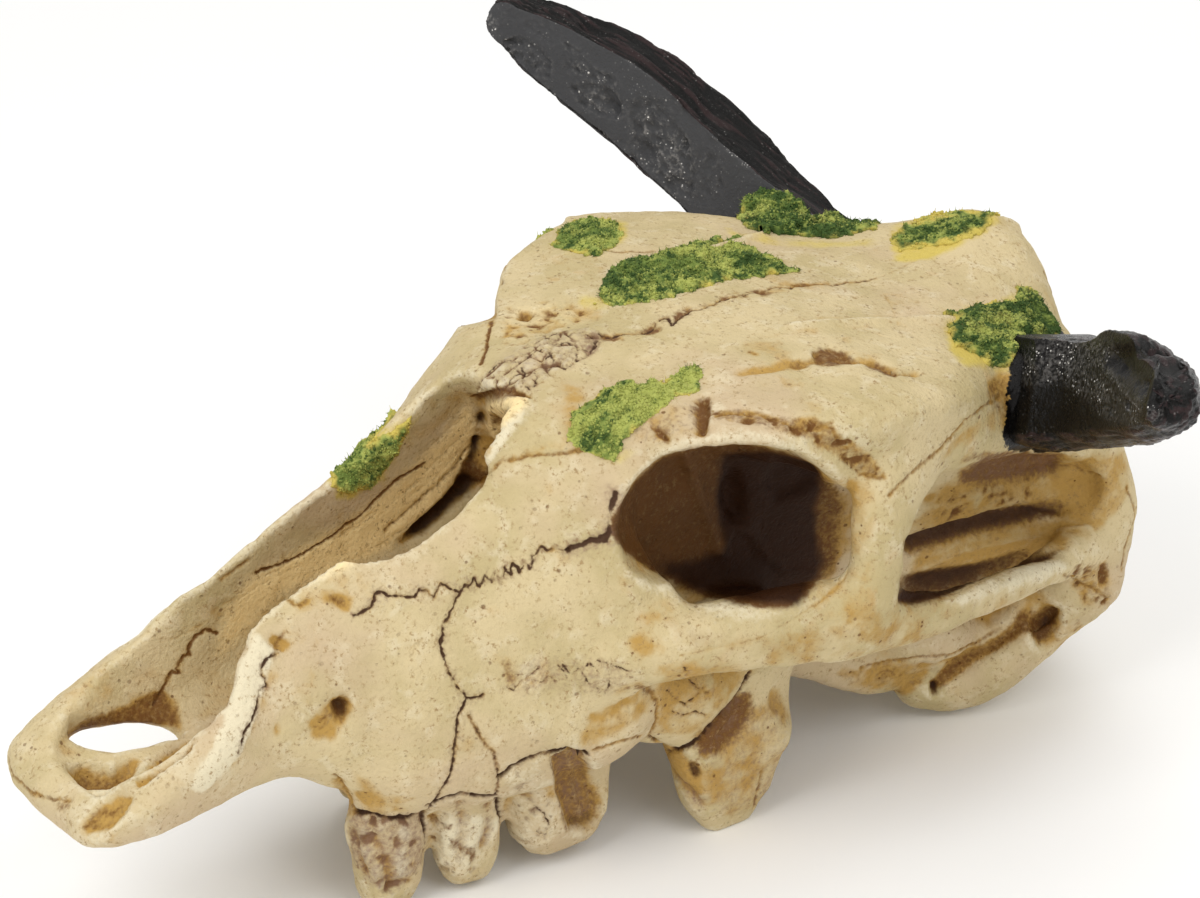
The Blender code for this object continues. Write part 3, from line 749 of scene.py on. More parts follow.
BROW_TRACES = traces("""
SCRIBBLE 550,345 550,355 555,365 565,368 575,362 578,350 568,345 555,347 550,345
SCRIBBLE 525,350 535,345 548,340
SCRIBBLE 530,360 545,362 552,355
SCRIBBLE 478,388 485,378 490,372 498,366
SCRIBBLE 500,365 510,362 520,366 525,375 522,385 530,390
SCRIBBLE 548,340 557,336 568,338 580,335 590,337 596,345 590,352 580,350
SCRIBBLE 575,362 585,358 592,350 598,340
SCRIBBLE 520,366 528,358 538,352 550,350
SCRIBBLE 545,375 552,368 560,368
SCRIBBLE 510,385 515,378 525,375
SCRIBBLE 535,372 538,381 532,388
SUTURE 600,335 612,336 625,333 640,333 652,328 660,320 668,318 672,325 680,316 690,310 700,309 710,305 720,300
 735,297
CRACK 735,297 750,293 765,290 775,286 790,288 805,285 815,284 830,285 845,282 860,281 875,278
HAIR 875,278 890,273 900,268 915,260 925,255
CREASE 600,250 620,252 640,251 655,250
FURROW 740,373 765,370 785,365 800,362 812,358 830,354 850,360 870,360 885,365 900,371 915,372
CREASE 812,352 822,350 835,350 848,356 862,361
CREASE 870,361 885,366 900,373 915,373
HAIR 885,295 893,310 898,325
HAIR 865,330 880,335 900,342
CREASE 748,352 756,354
SEAM 492,322 488,335 486,350 480,365
PIT 525,313 526,314
CREASE 480,482 500,462 530,455 560,453 590,449 600,447
PIT 477,440 479,441
SEAM 472,397 480,394 495,390 510,390 522,394 530,400
HAIR 476,420 462,436 448,450 430,468 412,486 395,500
HAIR 470,412 455,424 440,437 425,452
CREASE 478,430 470,445 462,458 452,470 438,484 420,500 402,516 385,530
RIDGE 520,420 508,435 500,445 488,462 478,478
""")

ORBIT_TRACES = traces("""
FURROW 697,400 700,415 701,432
CREASE 704,398 707,412 706,428
CREASE 652,428 660,434 668,442
CREASE 715,415 728,411 740,413 755,411 770,416 783,421 795,425 806,430 815,428 832,422
STAIN 780,426 800,430 818,436 830,445 842,450
CREASE 818,428 826,424 833,428 836,436 842,447 848,449
CREASE 845,460 853,468 860,475 872,477 885,478
HAIR 850,560 845,577 835,590 818,603 800,615 782,626 765,635 748,641 730,645 700,652 680,655
RIDGE 685,453 694,478 703,505 712,530 720,553
RIDGE 720,553 730,524 750,530 767,553 787,570 810,573
GROOVE 733,468 728,485 727,500 730,520
JOINT 605,541 609,530 610,515 613,500 616,492
CREASE 890,495 900,484 910,475 925,462 940,450 955,432 965,420 985,405 1000,398
LIP 620,490 640,470 660,453 690,441 730,437 760,438 800,448 826,460 846,485
""")

REAR_TRACES = traces("""
GROOVE 908,546 925,540 950,530 975,522 1000,515 1025,509 1050,505 1065,505
STAIN 915,595 930,588 950,582 975,573 1000,565 1025,558 1050,553
FURROW 930,500 960,490 1000,483 1050,470 1090,462
STAIN 965,460 985,455 1010,463 1030,458 1045,466
LIP 925,568 960,552 1000,542 1050,532 1090,528
CREASE 1065,575 1080,585 1095,590 1110,600
CREASE 1050,470 1075,468 1100,475
PIT 1042,618 1045,630
PIT 934,690 937,688
FURROW 925,668 950,662 980,650 1005,636 1020,618
CREASE 862,668 890,661 920,658 950,655 975,645 1000,627
HAIR 905,602 940,600 975,585 1000,572
CREASE 1128,487 1137,515 1125,550 1122,570
CREASE 650,690 658,702 656,722 650,735
STAIN 620,690 640,688 655,695
""")

TOOTH_TRACES = traces("""
TOOTH_GAP 424,812 426,830 425,850 424,866
TOOTH_GAP 497,798 501,815 504,830 506,846
TOOTH_GAP 352,812 370,816 390,820 410,820 425,812
TOOTH_GAP 428,806 445,799 462,795 480,797 496,796
TOOTH_GAP 500,778 512,768 530,758 548,754 565,751 588,757
TOOTH_FLUTE 372,822 378,845 386,868 392,886
TOOTH_FLUTE 352,832 356,852 364,872
TOOTH_FLUTE 460,803 464,825 462,850 458,868
TOOTH_FLUTE 488,806 490,825 484,845
TOOTH_FLUTE 562,762 568,782 574,805 580,826
TOOTH_FLUTE 578,760 584,785 590,805 592,820
CREASE 551,757 556,780 561,805 567,832
SCRIBBLE 528,812 536,808 545,815 550,826 545,836 536,832
TOOTH_GAP 648,737 665,752 680,750 700,742 720,720 738,698 750,672
TOOTH_FLUTE 700,738 715,725 730,712 742,700
TOOTH_FLUTE 706,752 722,740 736,722
STAIN 690,768 697,776
TOOTH_FLUTE 668,770 684,788 702,806
CREASE 762,770 758,790 754,808
SCRIBBLE 668,690 676,700 686,705 696,698 704,688
SCRIBBLE 684,668 690,680 700,690 712,694
SCRIBBLE 672,712 684,716 696,712 706,716
""")


@dataclass(frozen=True)
class Zone:
    """A patch, outlined in the picture, that is tinted and may be sunk or roughened.

    soft is the width in picture points over which it fades in, sink its depth in millimetres, and
    layers holds the strengths of its tints by name.
    """

    soft: float
    sink: float
    layers: dict[str, float]
    outline: Pixels

    def mask(self, seen: Array) -> Array:
        """How fully each point of the picture lies in the zone, 0 to 1."""
        shape = np.array(self.outline)
        cover = np.zeros(len(seen))
        low, high = shape.min(0) - self.soft, shape.max(0) + self.soft
        near = np.flatnonzero(((seen > low) & (seen < high)).all(1))
        depth = signed_depth(seen[near], shape) / self.soft + 0.5
        cover[near] = smooth_step(depth)
        return cover


def zones(text: str) -> tuple[Zone, ...]:
    """Zones, each written as soft, then sink where it has one, its tints and its x,y pairs."""
    made = []
    for entry in text.split("soft")[1:]:
        words = entry.split()
        pairs = [word for word in words if "," in word]
        named = words[1 : -len(pairs)]
        layers = dict(zip(named[::2], map(float, named[1::2])))
        made.append(Zone(float(words[0]), layers.pop("sink", 0.0), layers, pixels(" ".join(pairs))))
    return tuple(made)


# Some zones paint light or shade: the ochre and umber zone under the arch (640,592 to 690,655) is painted
# shade, the two gold zones on the nose's inner wall (from 470,400 and from 330,540) are painted light, and
# the umber in the orbit, the deep slots and pits is partly dark wash, partly painted shade
ZONES = zones("""
soft 7 umber 0.42 rust 1 ochre 0.6 610,535 611,518 625,494 640,475 660,458 690,447 730,444 760,446 800,456
 820,467 826,480 818,500 817,530 824,548 826,565 812,592 788,609 755,608 730,602 700,595 680,587 650,569
 625,553
soft 12 umber 0.85 722,454 770,450 806,462 822,482 816,505 818,560 800,600 760,604 738,578 722,545 716,500
soft 8 umber 0.3 ochre 1 rust 0.7 820,470 838,487 846,505 842,530 840,560 828,582 822,560 818,530 818,500
soft 8 sink 2.5 umber 1 733,470 741,478 744,500 742,522 733,520 727,505 727,488
soft 10 sink 1.5 umber 1 775,458 812,466 820,480 800,492 778,500 766,482
soft 26 umber 0.9 640,562 690,560 740,540 800,525 826,560 800,606 740,604 690,590
soft 14 pale 0.45 600,560 622,572 660,596 700,612 745,622 790,618 830,598 858,560 848,556 825,590 790,611
 700,598
soft 6 sink 2.5 umber 1 ochre 0.6 400,544 412,528 430,512 445,498 458,483 463,476 478,481 472,492 455,505
 440,520 425,533
soft 4 sink 1 umber 0.8 rust 0.6 474,438 480,436 479,450 473,462 466,467 470,452
soft 6 sink 0.3 umber 0.4 rust 0.8 ochre 0.8 462,462 474,458 486,468 482,484 468,488 454,484
soft 6 sink -0.4 ochre 1 rust 0.25 478,432 490,438 500,442 494,456 484,470 474,472 476,450
soft 4 sink 1 umber 0.8 rust 0.6 476,415 482,412 486,417 483,425 478,423
soft 6 sink -1.8 gold 0.8 ochre 0.6 rough 0.8 rust 0.2 486,404 496,396 512,396 530,402 526,414 514,426 504,436
 497,442 490,434 486,424 489,414
soft 5 sink 0.5 rust 0.8 umber 0.3 473,396 490,389 512,389 530,397 528,403 508,397 490,398 477,404
soft 26 gold 1 pale 0.2 470,400 440,440 400,480 340,528 280,562 262,578 290,590 380,552 440,505 478,450
soft 30 gold 0.8 330,540 250,575 225,610 215,660 240,640 280,600
soft 8 sink -0.3 pale 0.55 534,400 540,408 510,438 490,462 480,482 476,478 488,452 505,432
soft 12 sink 0.2 gold 0.2 ochre 0.6 rough 0.6 498,462 520,448 548,440 572,440 566,452 540,457 515,462 498,472
soft 14 sink 0.1 gold 0.3 ochre 0.5 rough 0.8 501,345 500,322 512,306 545,300 598,303 600,318 570,326 540,332
 518,342
soft 4 sink 1.2 rust 0.8 ochre 0.8 umber 0.3 519,310 527,309 531,315 526,319 519,317
soft 7 sink -0.7 crackle 1 lilac 0.34 pale 0.2 476,392 488,372 500,360 515,350 530,343 545,335 562,331 585,329
 603,333 592,350 575,361 560,371 545,381 530,388 512,392 493,392
soft 5 rust 0.3 ochre 0.45 rough 0.8 598,335 612,331 640,329 654,322 668,313 690,305 715,298 745,290 780,284
 830,281 830,286 782,291 748,298 718,305 693,313 673,324 656,333 640,338 604,341
soft 5 sink 0.3 rust 0.5 lilac 0.5 rough 0.5 583,338 595,333 603,336 598,350 588,358 580,350
soft 7 sink 0.3 rust 0.75 ochre 1 umber 0.25 66,738 85,718 130,705 150,692 165,690 180,712 182,728 160,727
 130,727 100,728 78,740
soft 5 sink 4 ochre 1 rust 0.65 70,768 83,763 113,767 138,757 130,773 110,787 97,794 80,780
soft 5 sink 3.2 ochre 0.95 rust 0.35 135,782 147,767 167,753 192,739 188,750 167,763 150,775 139,785
soft 6 sink 1.4 ochre 0.9 rust 0.3 rough 0.5 80,827 97,807 115,793 133,795 123,813 112,827 97,835 84,834
soft 14 sink 0.9 ochre 0.85 rust 0.25 308,723 325,702 343,695 352,704 350,722 335,742 316,741
soft 5 sink 2 rust 1 umber 0.55 334,706 343,697 350,702 349,716 343,724 336,718
soft 4 sink 0.7 ochre 0.9 rust 0.4 272,727 277,723 283,728 281,735 274,735
soft 5 sink 1.1 ochre 0.8 rust 0.15 268,639 277,635 287,642 286,653 277,648
soft 4 sink 0.7 ochre 1 rust 0.35 330,597 343,596 350,612 339,608
soft 7 sink -0.5 pale 1 258,634 274,650 266,682 254,720 238,757 203,792 188,788 214,748 230,705 242,664
soft 14 lilac 0.34 497,684 510,664 540,655 580,655 620,657 640,668 634,684 610,697 580,695 540,694 512,697
soft 12 sink 0.5 ochre 0.7 rust 0.25 578,752 582,730 600,716 630,700 656,692 652,712 625,730 602,744 590,758
soft 16 ochre 0.7 rust 0.1 622,640 640,632 662,640 676,656 655,664 635,656
soft 14 ochre 0.65 lilac 0.12 rough 0.2 654,664 690,660 740,660 752,672 720,718 700,742 668,738 652,720
soft 16 sink 0.5 rust 0.85 ochre 0.9 lilac 0.2 rough 0.4 700,760 694,744 714,720 734,698 752,690 756,712
 742,735 720,756
soft 7 sink 0.4 ochre 0.95 rust 0.2 650,738 666,744 684,752 694,772 704,792 696,800 680,788 664,764
soft 6 sink 0.5 umber 0.6 rust 0.8 686,764 694,762 702,772 699,781 690,778
soft 16 lilac 0.3 ochre 0.6 rough 0.3 704,770 745,712 775,690 794,720 790,766 762,810 730,820 708,806
soft 7 lilac 0.5 rough 1 rust 0.15 ochre 0.3 345,822 352,812 424,814 425,860 410,884 390,896 368,886 352,862
soft 10 sink -0.5 pale 0.5 398,828 411,826 412,860 404,880 394,872
soft 7 pale 0.5 lilac 0.1 rough 0.7 428,808 500,818 496,842 478,870 462,878 430,866
soft 8 sink -0.5 pale 0.6 440,822 452,820 454,852 446,868 438,860
soft 7 sink -0.4 pale 0.6 470,815 480,815 482,842 474,860 468,850
soft 9 pale 0.4 rough 0.5 505,775 540,757 556,800 566,832 540,846 514,850
soft 5 sink 1.8 rust 0.6 ochre 0.7 lilac 0.25 553,758 572,752 586,757 595,785 605,804 602,821 588,831 571,831
 563,806 556,780
soft 6 sink 0.4 umber 0.45 566,818 586,822 603,810 601,824 588,832 570,832
soft 12 ochre 0.75 353,768 372,778 386,798 388,818 368,820 356,800
soft 7 sink 0.5 ochre 0.75 rust 0.35 327,777 342,780 352,796 354,816 346,818 338,800
soft 10 ochre 0.4 390,794 408,788 420,800 414,814 396,814
soft 14 ochre 0.65 846,480 872,480 880,505 872,540 858,556 848,548 848,510
soft 6 sink 0.2 rust 0.5 rough 1 ochre 0.65 710,411 740,408 780,415 820,417 845,436 868,453 888,475 868,481
 843,462 812,444 780,432 740,422 715,421
soft 12 sink 0.2 rust 0.3 ochre 0.5 lilac 0.2 628,432 650,412 680,402 704,400 706,430 680,440 655,446 636,446
soft 4 sink 1.1 rust 0.95 umber 0.3 696,397 710,395 711,410 704,436 698,432
soft 4 sink 0.7 rust 0.9 650,424 657,424 670,438 666,444 657,436
soft 5 sink 0.9 ochre 0.5 rust 0.75 rough 1 812,349 828,345 848,350 856,360 836,365 816,363
soft 5 sink 0.4 rust 0.6 rough 0.6 783,362 798,358 812,356 812,364 795,369
soft 5 sink 0.5 rust 0.7 rough 0.7 864,360 880,360 898,369 898,377 880,372 864,367
soft 16 ochre 0.55 558,384 582,384 584,452 566,458 556,430
soft 14 ochre 0.75 rust 0.22 910,590 906,540 930,495 970,465 1010,452 1130,452 1128,500 1090,540 1000,570
soft 14 sink 0.6 rust 0.8 lilac 0.4 umber 0.25 rough 0.9 958,474 985,457 1010,452 1062,453 1060,474 1020,482
 985,488 962,487
soft 16 ochre 0.8 1053,452 1130,452 1130,500 1100,512 1060,500
soft 10 rough 0.9 rust 0.25 928,505 960,488 1030,482 1040,500 990,512 935,525
soft 8 sink 1.9 rust 0.9 umber 0.62 lilac 0.4 906,540 940,528 990,517 1040,505 1062,506 1064,515 1020,527
 970,538 930,549 906,556
soft 16 sink 1.4 rust 1 umber 0.78 rough 0.7 900,603 903,578 930,572 980,566 1020,553 1062,547 1053,557
 1000,568 970,582 943,597 917,605
soft 10 sink -0.7 pale 0.4 945,602 975,586 1005,571 1055,560 1075,566 1040,582 1000,592 960,606
soft 5 sink 3 ochre 0.9 rust 0.9 umber 0.45 1032,616 1044,607 1058,611 1060,628 1055,645 1043,649 1034,640
soft 9 sink 1 rust 0.7 umber 0.12 ochre 0.9 rough 0.6 928,683 953,663 980,647 1007,627 1018,610 1033,608
 1033,630 1007,647 980,660 957,677 943,690
soft 4 sink 1.8 umber 1 rust 1 931,685 938,683 940,690 937,697 932,695
soft 10 sink 0.3 rough 1 ochre 0.6 rust 0.35 1070,566 1108,560 1114,585 1112,612 1085,606 1068,590
soft 12 sink 0.1 ochre 0.4 rough 0.5 1060,620 1085,612 1105,610 1070,650 1058,650
soft 10 sink 0.2 ochre 0.7 rough 0.5 rust 0.3 820,672 862,668 900,660 930,664 926,685 905,700 890,694 850,686
soft 20 ochre 0.4 960,690 930,702 1000,686 1080,640 1120,590 1125,560 1090,600 1030,650
soft 14 ochre 0.5 1000,395 1012,420 1008,440 985,430 960,450 930,470 950,440
soft 36 ochre 0.45 umber 0.26 640,592 700,625 800,624 880,598 960,590 1040,575 1060,595 980,640 900,662
 800,668 690,655
soft 6 sink -0.4 black 1 1012,347 1030,339 1058,329 1086,322 1090,456 1034,452 1024,440 1017,424 1010,412
 1013,398 1003,393 1012,380 1008,366
soft 10 sink 0.2 rust 0.5 ochre 0.6 rough 0.7 988,380 1012,372 1014,405 1024,436 1006,428 994,410 984,398
soft 9 yellow 0.8 616,219 628,222 628,238 616,246 600,256 598,250 612,240
soft 9 yellow 0.9 925,246 958,240 958,250 935,258 905,262 890,264 895,256
soft 12 yellow 0.85 945,322 955,318 962,338 985,346 990,366 965,368 948,350
soft 8 yellow 0.8 332,492 350,484 372,476 392,446 408,424 398,452 384,480 355,497 336,502
soft 10 yellow 0.5 574,296 600,292 612,304 600,310 576,306
soft 12 yellow 0.6 722,218 738,232 790,238 850,240 880,236 878,246 820,250 760,246 724,234
soft 12 yellow 0.45 576,452 600,462 625,468 640,452 625,444 600,452
""")


# Lines and patches of the back, which the portrait doesn't show: drawn in a picture taken from behind
BACK_TRACES = traces("""
RIDGE 372,430 392,372 430,326 480,296 530,282 572,278 614,282 664,296 714,326 752,372 772,430
RIDGE 572,300 572,360 572,430 572,500 572,560
SUTURE 420,420 432,450 426,470 438,495 433,520 446,545 440,570 462,600
SUTURE 724,424 711,450 718,474 704,500 710,530 694,555 699,580 682,600
CREASE 500,350 470,380 455,420 462,462
CREASE 640,352 672,386 690,420 682,468
CRACK 578,300 584,322 576,345 585,372 577,404
""")
BACK_ZONES = zones("""
soft 14 sink 1.5 umber 0.95 rust 1 572,600 600,610 612,636 604,664 572,676 540,664 532,636 544,610
soft 44 sink 0.9 ochre 0.6 rough 0.5 rust 0.2 470,350 545,330 552,440 520,540 470,520 440,430
soft 44 sink 0.9 ochre 0.6 rough 0.5 rust 0.2 674,350 599,330 592,440 624,540 674,520 704,430
soft 30 sink 0.2 rust 0.4 ochre 0.7 470,640 674,640 700,690 640,664 572,700 504,664 444,690
""")


@dataclass
class CastMarks:
    """Traced lines laid on the skin, as sample points with their surface normals."""

    rows: dict[Mark, list[Vector]] = field(default_factory=dict)
    facing: dict[Mark, list[Vector]] = field(default_factory=dict)
    sharp: list[Vector] = field(default_factory=list)

    def add(self, mark: Mark, spots: Iterable[Spot], sharp: bool) -> None:
        """Keep the samples of one line.

        Args:
            mark: What the line is.
            spots: Its points and normals.
            sharp: Whether the mesh is refined along it.
        """
        for spot, normal in spots:
            self.rows.setdefault(mark, []).append(spot)
            self.facing.setdefault(mark, []).append(normal)
            if sharp and mark.fine:
                self.sharp.append(spot)


@dataclass
class Projector:
    """Lays points of the picture on a surface."""

    portrait: Portrait
    tree: BVHTree

    def spot(self, x: float, y: float) -> Spot | None:
        """The surface point in millimetres and its normal behind a point of the picture."""
        found, normal, _, _ = self.tree.ray_cast(self.portrait.eye / MM, self.portrait.direction(x, y))
        return None if found is None else (found, normal)

    def sees(self, point: Vector, normal: Vector, clear: float) -> bool:
        """Whether the camera sees a surface point, looking from so far above it."""
        way = self.portrait.eye / MM - point
        if normal.dot(way) < 0.04 * way.length:
            return False
        return self.tree.ray_cast(point + normal * clear, way.normalized())[0] is None

    def line(self, trace: Pixels, step: float = 0.12, jump: float = 9.0) -> list[Spot]:
        """The samples of a traced line on the surface.

        Args:
            trace: The line's points in the picture.
            step: The samples' spacing in millimetres.
            jump: Stretches with a longer leap between two hits are left open.

        Returns:
            Points in millimetres with their normals.
        """
        hits = []
        for (x0, y0), (x1, y1) in zip(trace, trace[1:]):
            parts = max(1, int(math.hypot(x1 - x0, y1 - y0) / 4.0))
            for i in range(parts):
                share = i / parts
                hits.append(self.spot(x0 + (x1 - x0) * share, y0 + (y1 - y0) * share))
        hits.append(self.spot(*trace[-1]))
        kept = [hit for hit in hits if hit]
        samples = []
        for (a, na), (b, nb) in zip(kept, kept[1:]):
            gap = (b - a).length
            if gap > jump:
                continue
            parts = max(1, int(gap / step))
            for i in range(parts):
                place, normal = a.lerp(b, i / parts), na.lerp(nb, i / parts)
                drift = noise.noise_vector(place / 0.9) * 0.3
                samples.append((place + drift - normal * drift.dot(normal), normal))
        return samples or kept[:1]

    def mirrored(self, spots: Iterable[Spot]) -> list[Spot]:
        """The same line, a little redrawn, on the other half of the skull where that is out of view."""
        twins = []
        for spot, normal in spots:
            if abs(spot.x) < 4.0:
                continue
            drift = noise.noise_vector(spot / 9.0) * 1.4
            found, facing, _, _ = self.tree.find_nearest(Vector((-spot.x, spot.y, spot.z)) + drift, 6.0)
            if found is None or facing.dot(Vector((-normal.x, normal.y, normal.z))) < 0.3:
                continue
            if not self.sees(found, facing, 0.5):
                twins.append((found, facing))
        return twins


Pull = tuple[float, float, float, float, float]

# Each pull takes the surface under one point of the picture to another, with a reach in millimetres
SKULL_PULLS: tuple[Pull, ...] = (
    (342, 606, 336, 576, 8.0),
    (318, 624, 300, 594, 7.0),
    (292, 652, 266, 622, 7.0),
    (268, 692, 251, 668, 6.0),
    (528, 428, 511, 424, 5.5),
    (512, 458, 499, 451, 5.0),
    (610, 212, 610, 217, 12.0),
    (1035, 250, 1029, 256, 10.0),
    (672, 604, 672, 595, 4.0),
    (178, 622, 174, 611, 7.0),
    (125, 840, 125, 830, 6.0),
    (360, 840, 347, 832, 4.5),
    (776, 735, 787, 741, 5.0),
    (788, 693, 773, 696, 4.5),
    (928, 707, 929, 693, 6.0),
    (962, 706, 962, 699, 6.0),
    (1102, 596, 1112, 603, 7.0),
)
NEAR_HORN_PULLS: tuple[Pull, ...] = (
    (1044, 350, 1024, 346, 7.0),
    (1040, 380, 1015, 378, 8.0),
    (1034, 410, 1012, 410, 7.0),
    (1034, 436, 1019, 436, 6.0),
    (1108, 345, 1110, 333, 8.0),
    (1150, 345, 1152, 336, 7.0),
    (1190, 350, 1166, 361, 6.0),
    (1195, 385, 1176, 388, 8.0),
    (1190, 420, 1176, 420, 7.0),
)
FAR_HORN_PULLS: tuple[Pull, ...] = (
    (722, 112, 716, 117, 10.0),
    (752, 158, 746, 162, 10.0),
    (800, 160, 790, 168, 9.0),
    (840, 190, 822, 200, 9.0),
    (594, 26, 590, 34, 3.5),
)
FAR_MOSS_PULLS: tuple[Pull, ...] = (
    (775, 207, 775, 193, 7.0),
)

# How much of what lies past a traced edge is trimmed, and where the trims take place, in millimetres
TRIM = 0.94
RIM_SPOT = Vector((-14.0, -98.0, 42.0))
BROW_SPOT = Vector((-30.0, 20.0, 80.0))
TIP_SPOT = Vector((100.0, 62.0, 110.0))

# The upper edge of the gap under the nose's far rim, and picture x against the x in millimetres
# that parts this rim from the nose's floor
WINDOW_TOP = pixels("58,746 66,738 82,730 100,727 125,723 150,724 166,728 178,736")
RIM_SPLIT = pixels("60,-12.6 180,-6.6")

# Where the near horn's tip ends on the right, as y,x pairs of the picture
TIP_SIDE = pixels("331,1130 338,1148 347,1164 362,1184 380,1195 405,1198 422,1195 432,1180 442,1152")

# Where the far brow ends on the left, as y,x pairs of the picture
BROW_SIDE = pixels("214,585 222,568 230,554 238,541 248,527 258,512 268,504 284,500 300,497 326,498")


def pulled(points: Array, portrait: Portrait, tree: BVHTree, pulls: Sequence[Pull]) -> Array:
    """Points moved by a set of pulls.

    Args:
        points: The points in millimetres.
        portrait: The camera in whose picture the pulls are given.
        tree: The surface that the pulls take hold of.
        pulls: The pulls.

    Returns:
        The moved points.
    """
    shift = np.zeros_like(points)
    weight = np.zeros(len(points))
    projector = Projector(portrait, tree)
    for x0, y0, x1, y1, reach in pulls:
        hit = projector.spot(x0, y0)
        if hit is None:
            LOG.info("pull at %d, %d misses", x0, y0)
            continue
        share = np.exp(-((np.linalg.norm(points - np.array(hit[0]), axis=1) / reach) ** 2))
        shift += share[:, None] * portrait.step(hit[0], x1 - x0, y1 - y0)
        weight += share
    return points + shift / np.maximum(weight, 1.0)[:, None]


@dataclass
class Skull:
    """The casting: one skin round the cranium, the upper jaw and the two cheekbones."""

    voxel: float = 0.85
    swell: float = 0.2
    smoothing: int = 8
    crispness: float = 0.7
    triangles: int = 196000
    deep_rays: int = 36
    deep_reach: float = 55.0
    borrow_reach: float = 14.0
    borrow_fade: float = 9.0
    borrow_blur: int = 22
    black_rim: float = 3.4
    black_reach: float = 8.5
    skin: Skin = field(init=False)
    projector: Projector = field(init=False)
    layers: dict[str, Array] = field(init=False)
    marks: CastMarks = field(default_factory=CastMarks)

    def build(self, portrait: Portrait) -> None:
        """Make the bare skin and lay every traced line on it."""
        self.skin = Skin(self.merged())
        self.skin.points = pulled(self.skin.points, portrait, self.skin.tree(), SKULL_PULLS)
        self.open_window(portrait)
        self.square_brow(portrait)
        self.projector = Projector(portrait, self.skin.tree())
        for group in (FACE_TRACES, INNER_TRACES, BROW_TRACES, ORBIT_TRACES, REAR_TRACES, TOOTH_TRACES):
            for mark, line in group:
                spots = self.projector.line(line)
                self.marks.add(mark, spots, True)
                self.marks.add(mark, self.projector.mirrored(spots), False)
        behind = Projector(BEHIND, self.projector.tree)
        for mark, line in BACK_TRACES:
            self.marks.add(mark, behind.line(line), True)

    def open_window(self, portrait: Portrait) -> None:
        """Trim the far rim of the nose from below, so that one looks through under it."""
        skin = self.skin
        seen = portrait.picture(skin.points * MM)
        split = np.interp(seen[:, 0], *np.array(RIM_SPLIT).T)
        below = np.clip(beyond(seen, WINDOW_TOP, 1), 0.0, 40.0)
        below *= (skin.points[:, 0] < split) * (skin.points[:, 1] < -78.0)
        below *= smooth_step((seen[:, 0] - 58.0) / 12.0) * smooth_step((186.0 - seen[:, 0]) / 12.0)
        skin.shift(below, portrait.step(RIM_SPOT, 0.0, -TRIM))

    def square_brow(self, portrait: Portrait) -> None:
        """Cut the far brow off upright, down to its step above the nose."""
        skin = self.skin
        seen = portrait.picture(skin.points * MM)
        past = np.clip(-beyond(seen, BROW_SIDE, 0), 0.0, 45.0) * (skin.points[:, 0] < 6.0)
        past *= smooth_step((325.0 - seen[:, 1]) / 5.0) * smooth_step((seen[:, 1] - 210.0) / 14.0)
        skin.shift(past, portrait.step(BROW_SPOT, TRIM, 0.0))

    def merged(self) -> Object:
        """The solids of the casting, swollen until they meet, under one fine skin."""
        mesh = bmesh.new()
        for node in CASTING:
            part = bmesh.new()
            part.from_mesh(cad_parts[node].data)
            bmesh.ops.remove_doubles(part, verts=part.verts, dist=1e-6)
            part.normal_update()
            for vertex in part.verts:
                vertex.co += vertex.normal * (self.swell * MM)
            data = bpy.data.meshes.new(node)
            part.to_mesh(data)
            part.free()
            mesh.from_mesh(data)
            bpy.data.meshes.remove(data)
        data = bpy.data.meshes.new("skull")
        mesh.to_mesh(data)
        mesh.free()
        obj = new_object("skull", data)
        wrap = obj.modifiers.new("wrap", "REMESH")
        wrap.mode = "VOXEL"
        wrap.voxel_size = self.voxel * MM
        wrap.use_smooth_shade = True
        soften = obj.modifiers.new("soften", "SMOOTH")
        soften.factor = 0.5
        soften.iterations = self.smoothing
        bake(obj)
        skin = Skin(obj)
        self.even_out_cut(skin)
        swing = np.einsum("ij,ij->i", skin.points - skin.averaged(skin.points, 9), skin.normals)
        skin.push(skin.averaged(np.clip(swing * self.crispness, -0.35, 0.45), 1))
        return obj

    @staticmethod
    def even_out_cut(skin: Skin) -> None:
        """Smooth away the lines where the solids met."""
        lean = math.radians(34.0)
        across = np.array((0.0, math.cos(lean), math.sin(lean)))
        jaw = np.array([tuple(v.co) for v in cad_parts["upper_jaw"].data.vertices]) / MM
        near = np.exp(-(((skin.points @ across - (jaw @ across).max()) / 2.2) ** 2))
        for node in ("cheekbone_left", "cheekbone_right"):
            low, high = (np.array(corner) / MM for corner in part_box(node))
            off = np.abs(skin.points - np.clip(skin.points, low, high)).max(1)
            inner = np.abs(skin.points - low).min(1)
            inner = np.minimum(inner, np.abs(high - skin.points).min(1))
            near = np.maximum(near, np.exp(-((inner / 2.0) ** 2)) * (off < 2.5))
        target = skin.averaged(skin.points, 16)
        skin.points += (target - skin.points) * near[:, None]
        skin.write()

    def sight(self) -> tuple[Array, Array]:
        """Where in the picture each point's paint comes from.

        A point that the portrait doesn't see borrows from its twin on the other half, or else from
        the nearest point that has a place.

        Returns:
            Picture points, and how much each of them counts.
        """
        skin = self.skin
        flip = np.array((-1.0, 1.0, 1.0))
        seen = self.projector.portrait.picture(skin.points * MM)
        twin = self.projector.portrait.picture(skin.points * flip * MM)
        known = np.zeros(len(seen), bool)
        for index, (row, normal) in enumerate(zip(skin.points, skin.normals)):
            if self.projector.sees(Vector(row), Vector(normal), 0.4):
                known[index] = True
            elif self.projector.sees(Vector(row * flip), Vector(normal * flip), 3.0):
                known[index] = True
                seen[index] = twin[index]
        share = known.astype(float)
        sources = np.flatnonzero(known)
        lost = np.flatnonzero(~known)
        distance, which = gaps(skin.points[lost], skin.points[sources], self.borrow_reach)
        seen[lost] = seen[sources[which]]
        share[lost] = np.exp(-np.clip(distance, 0.0, 60.0) / self.borrow_fade)
        return seen, share

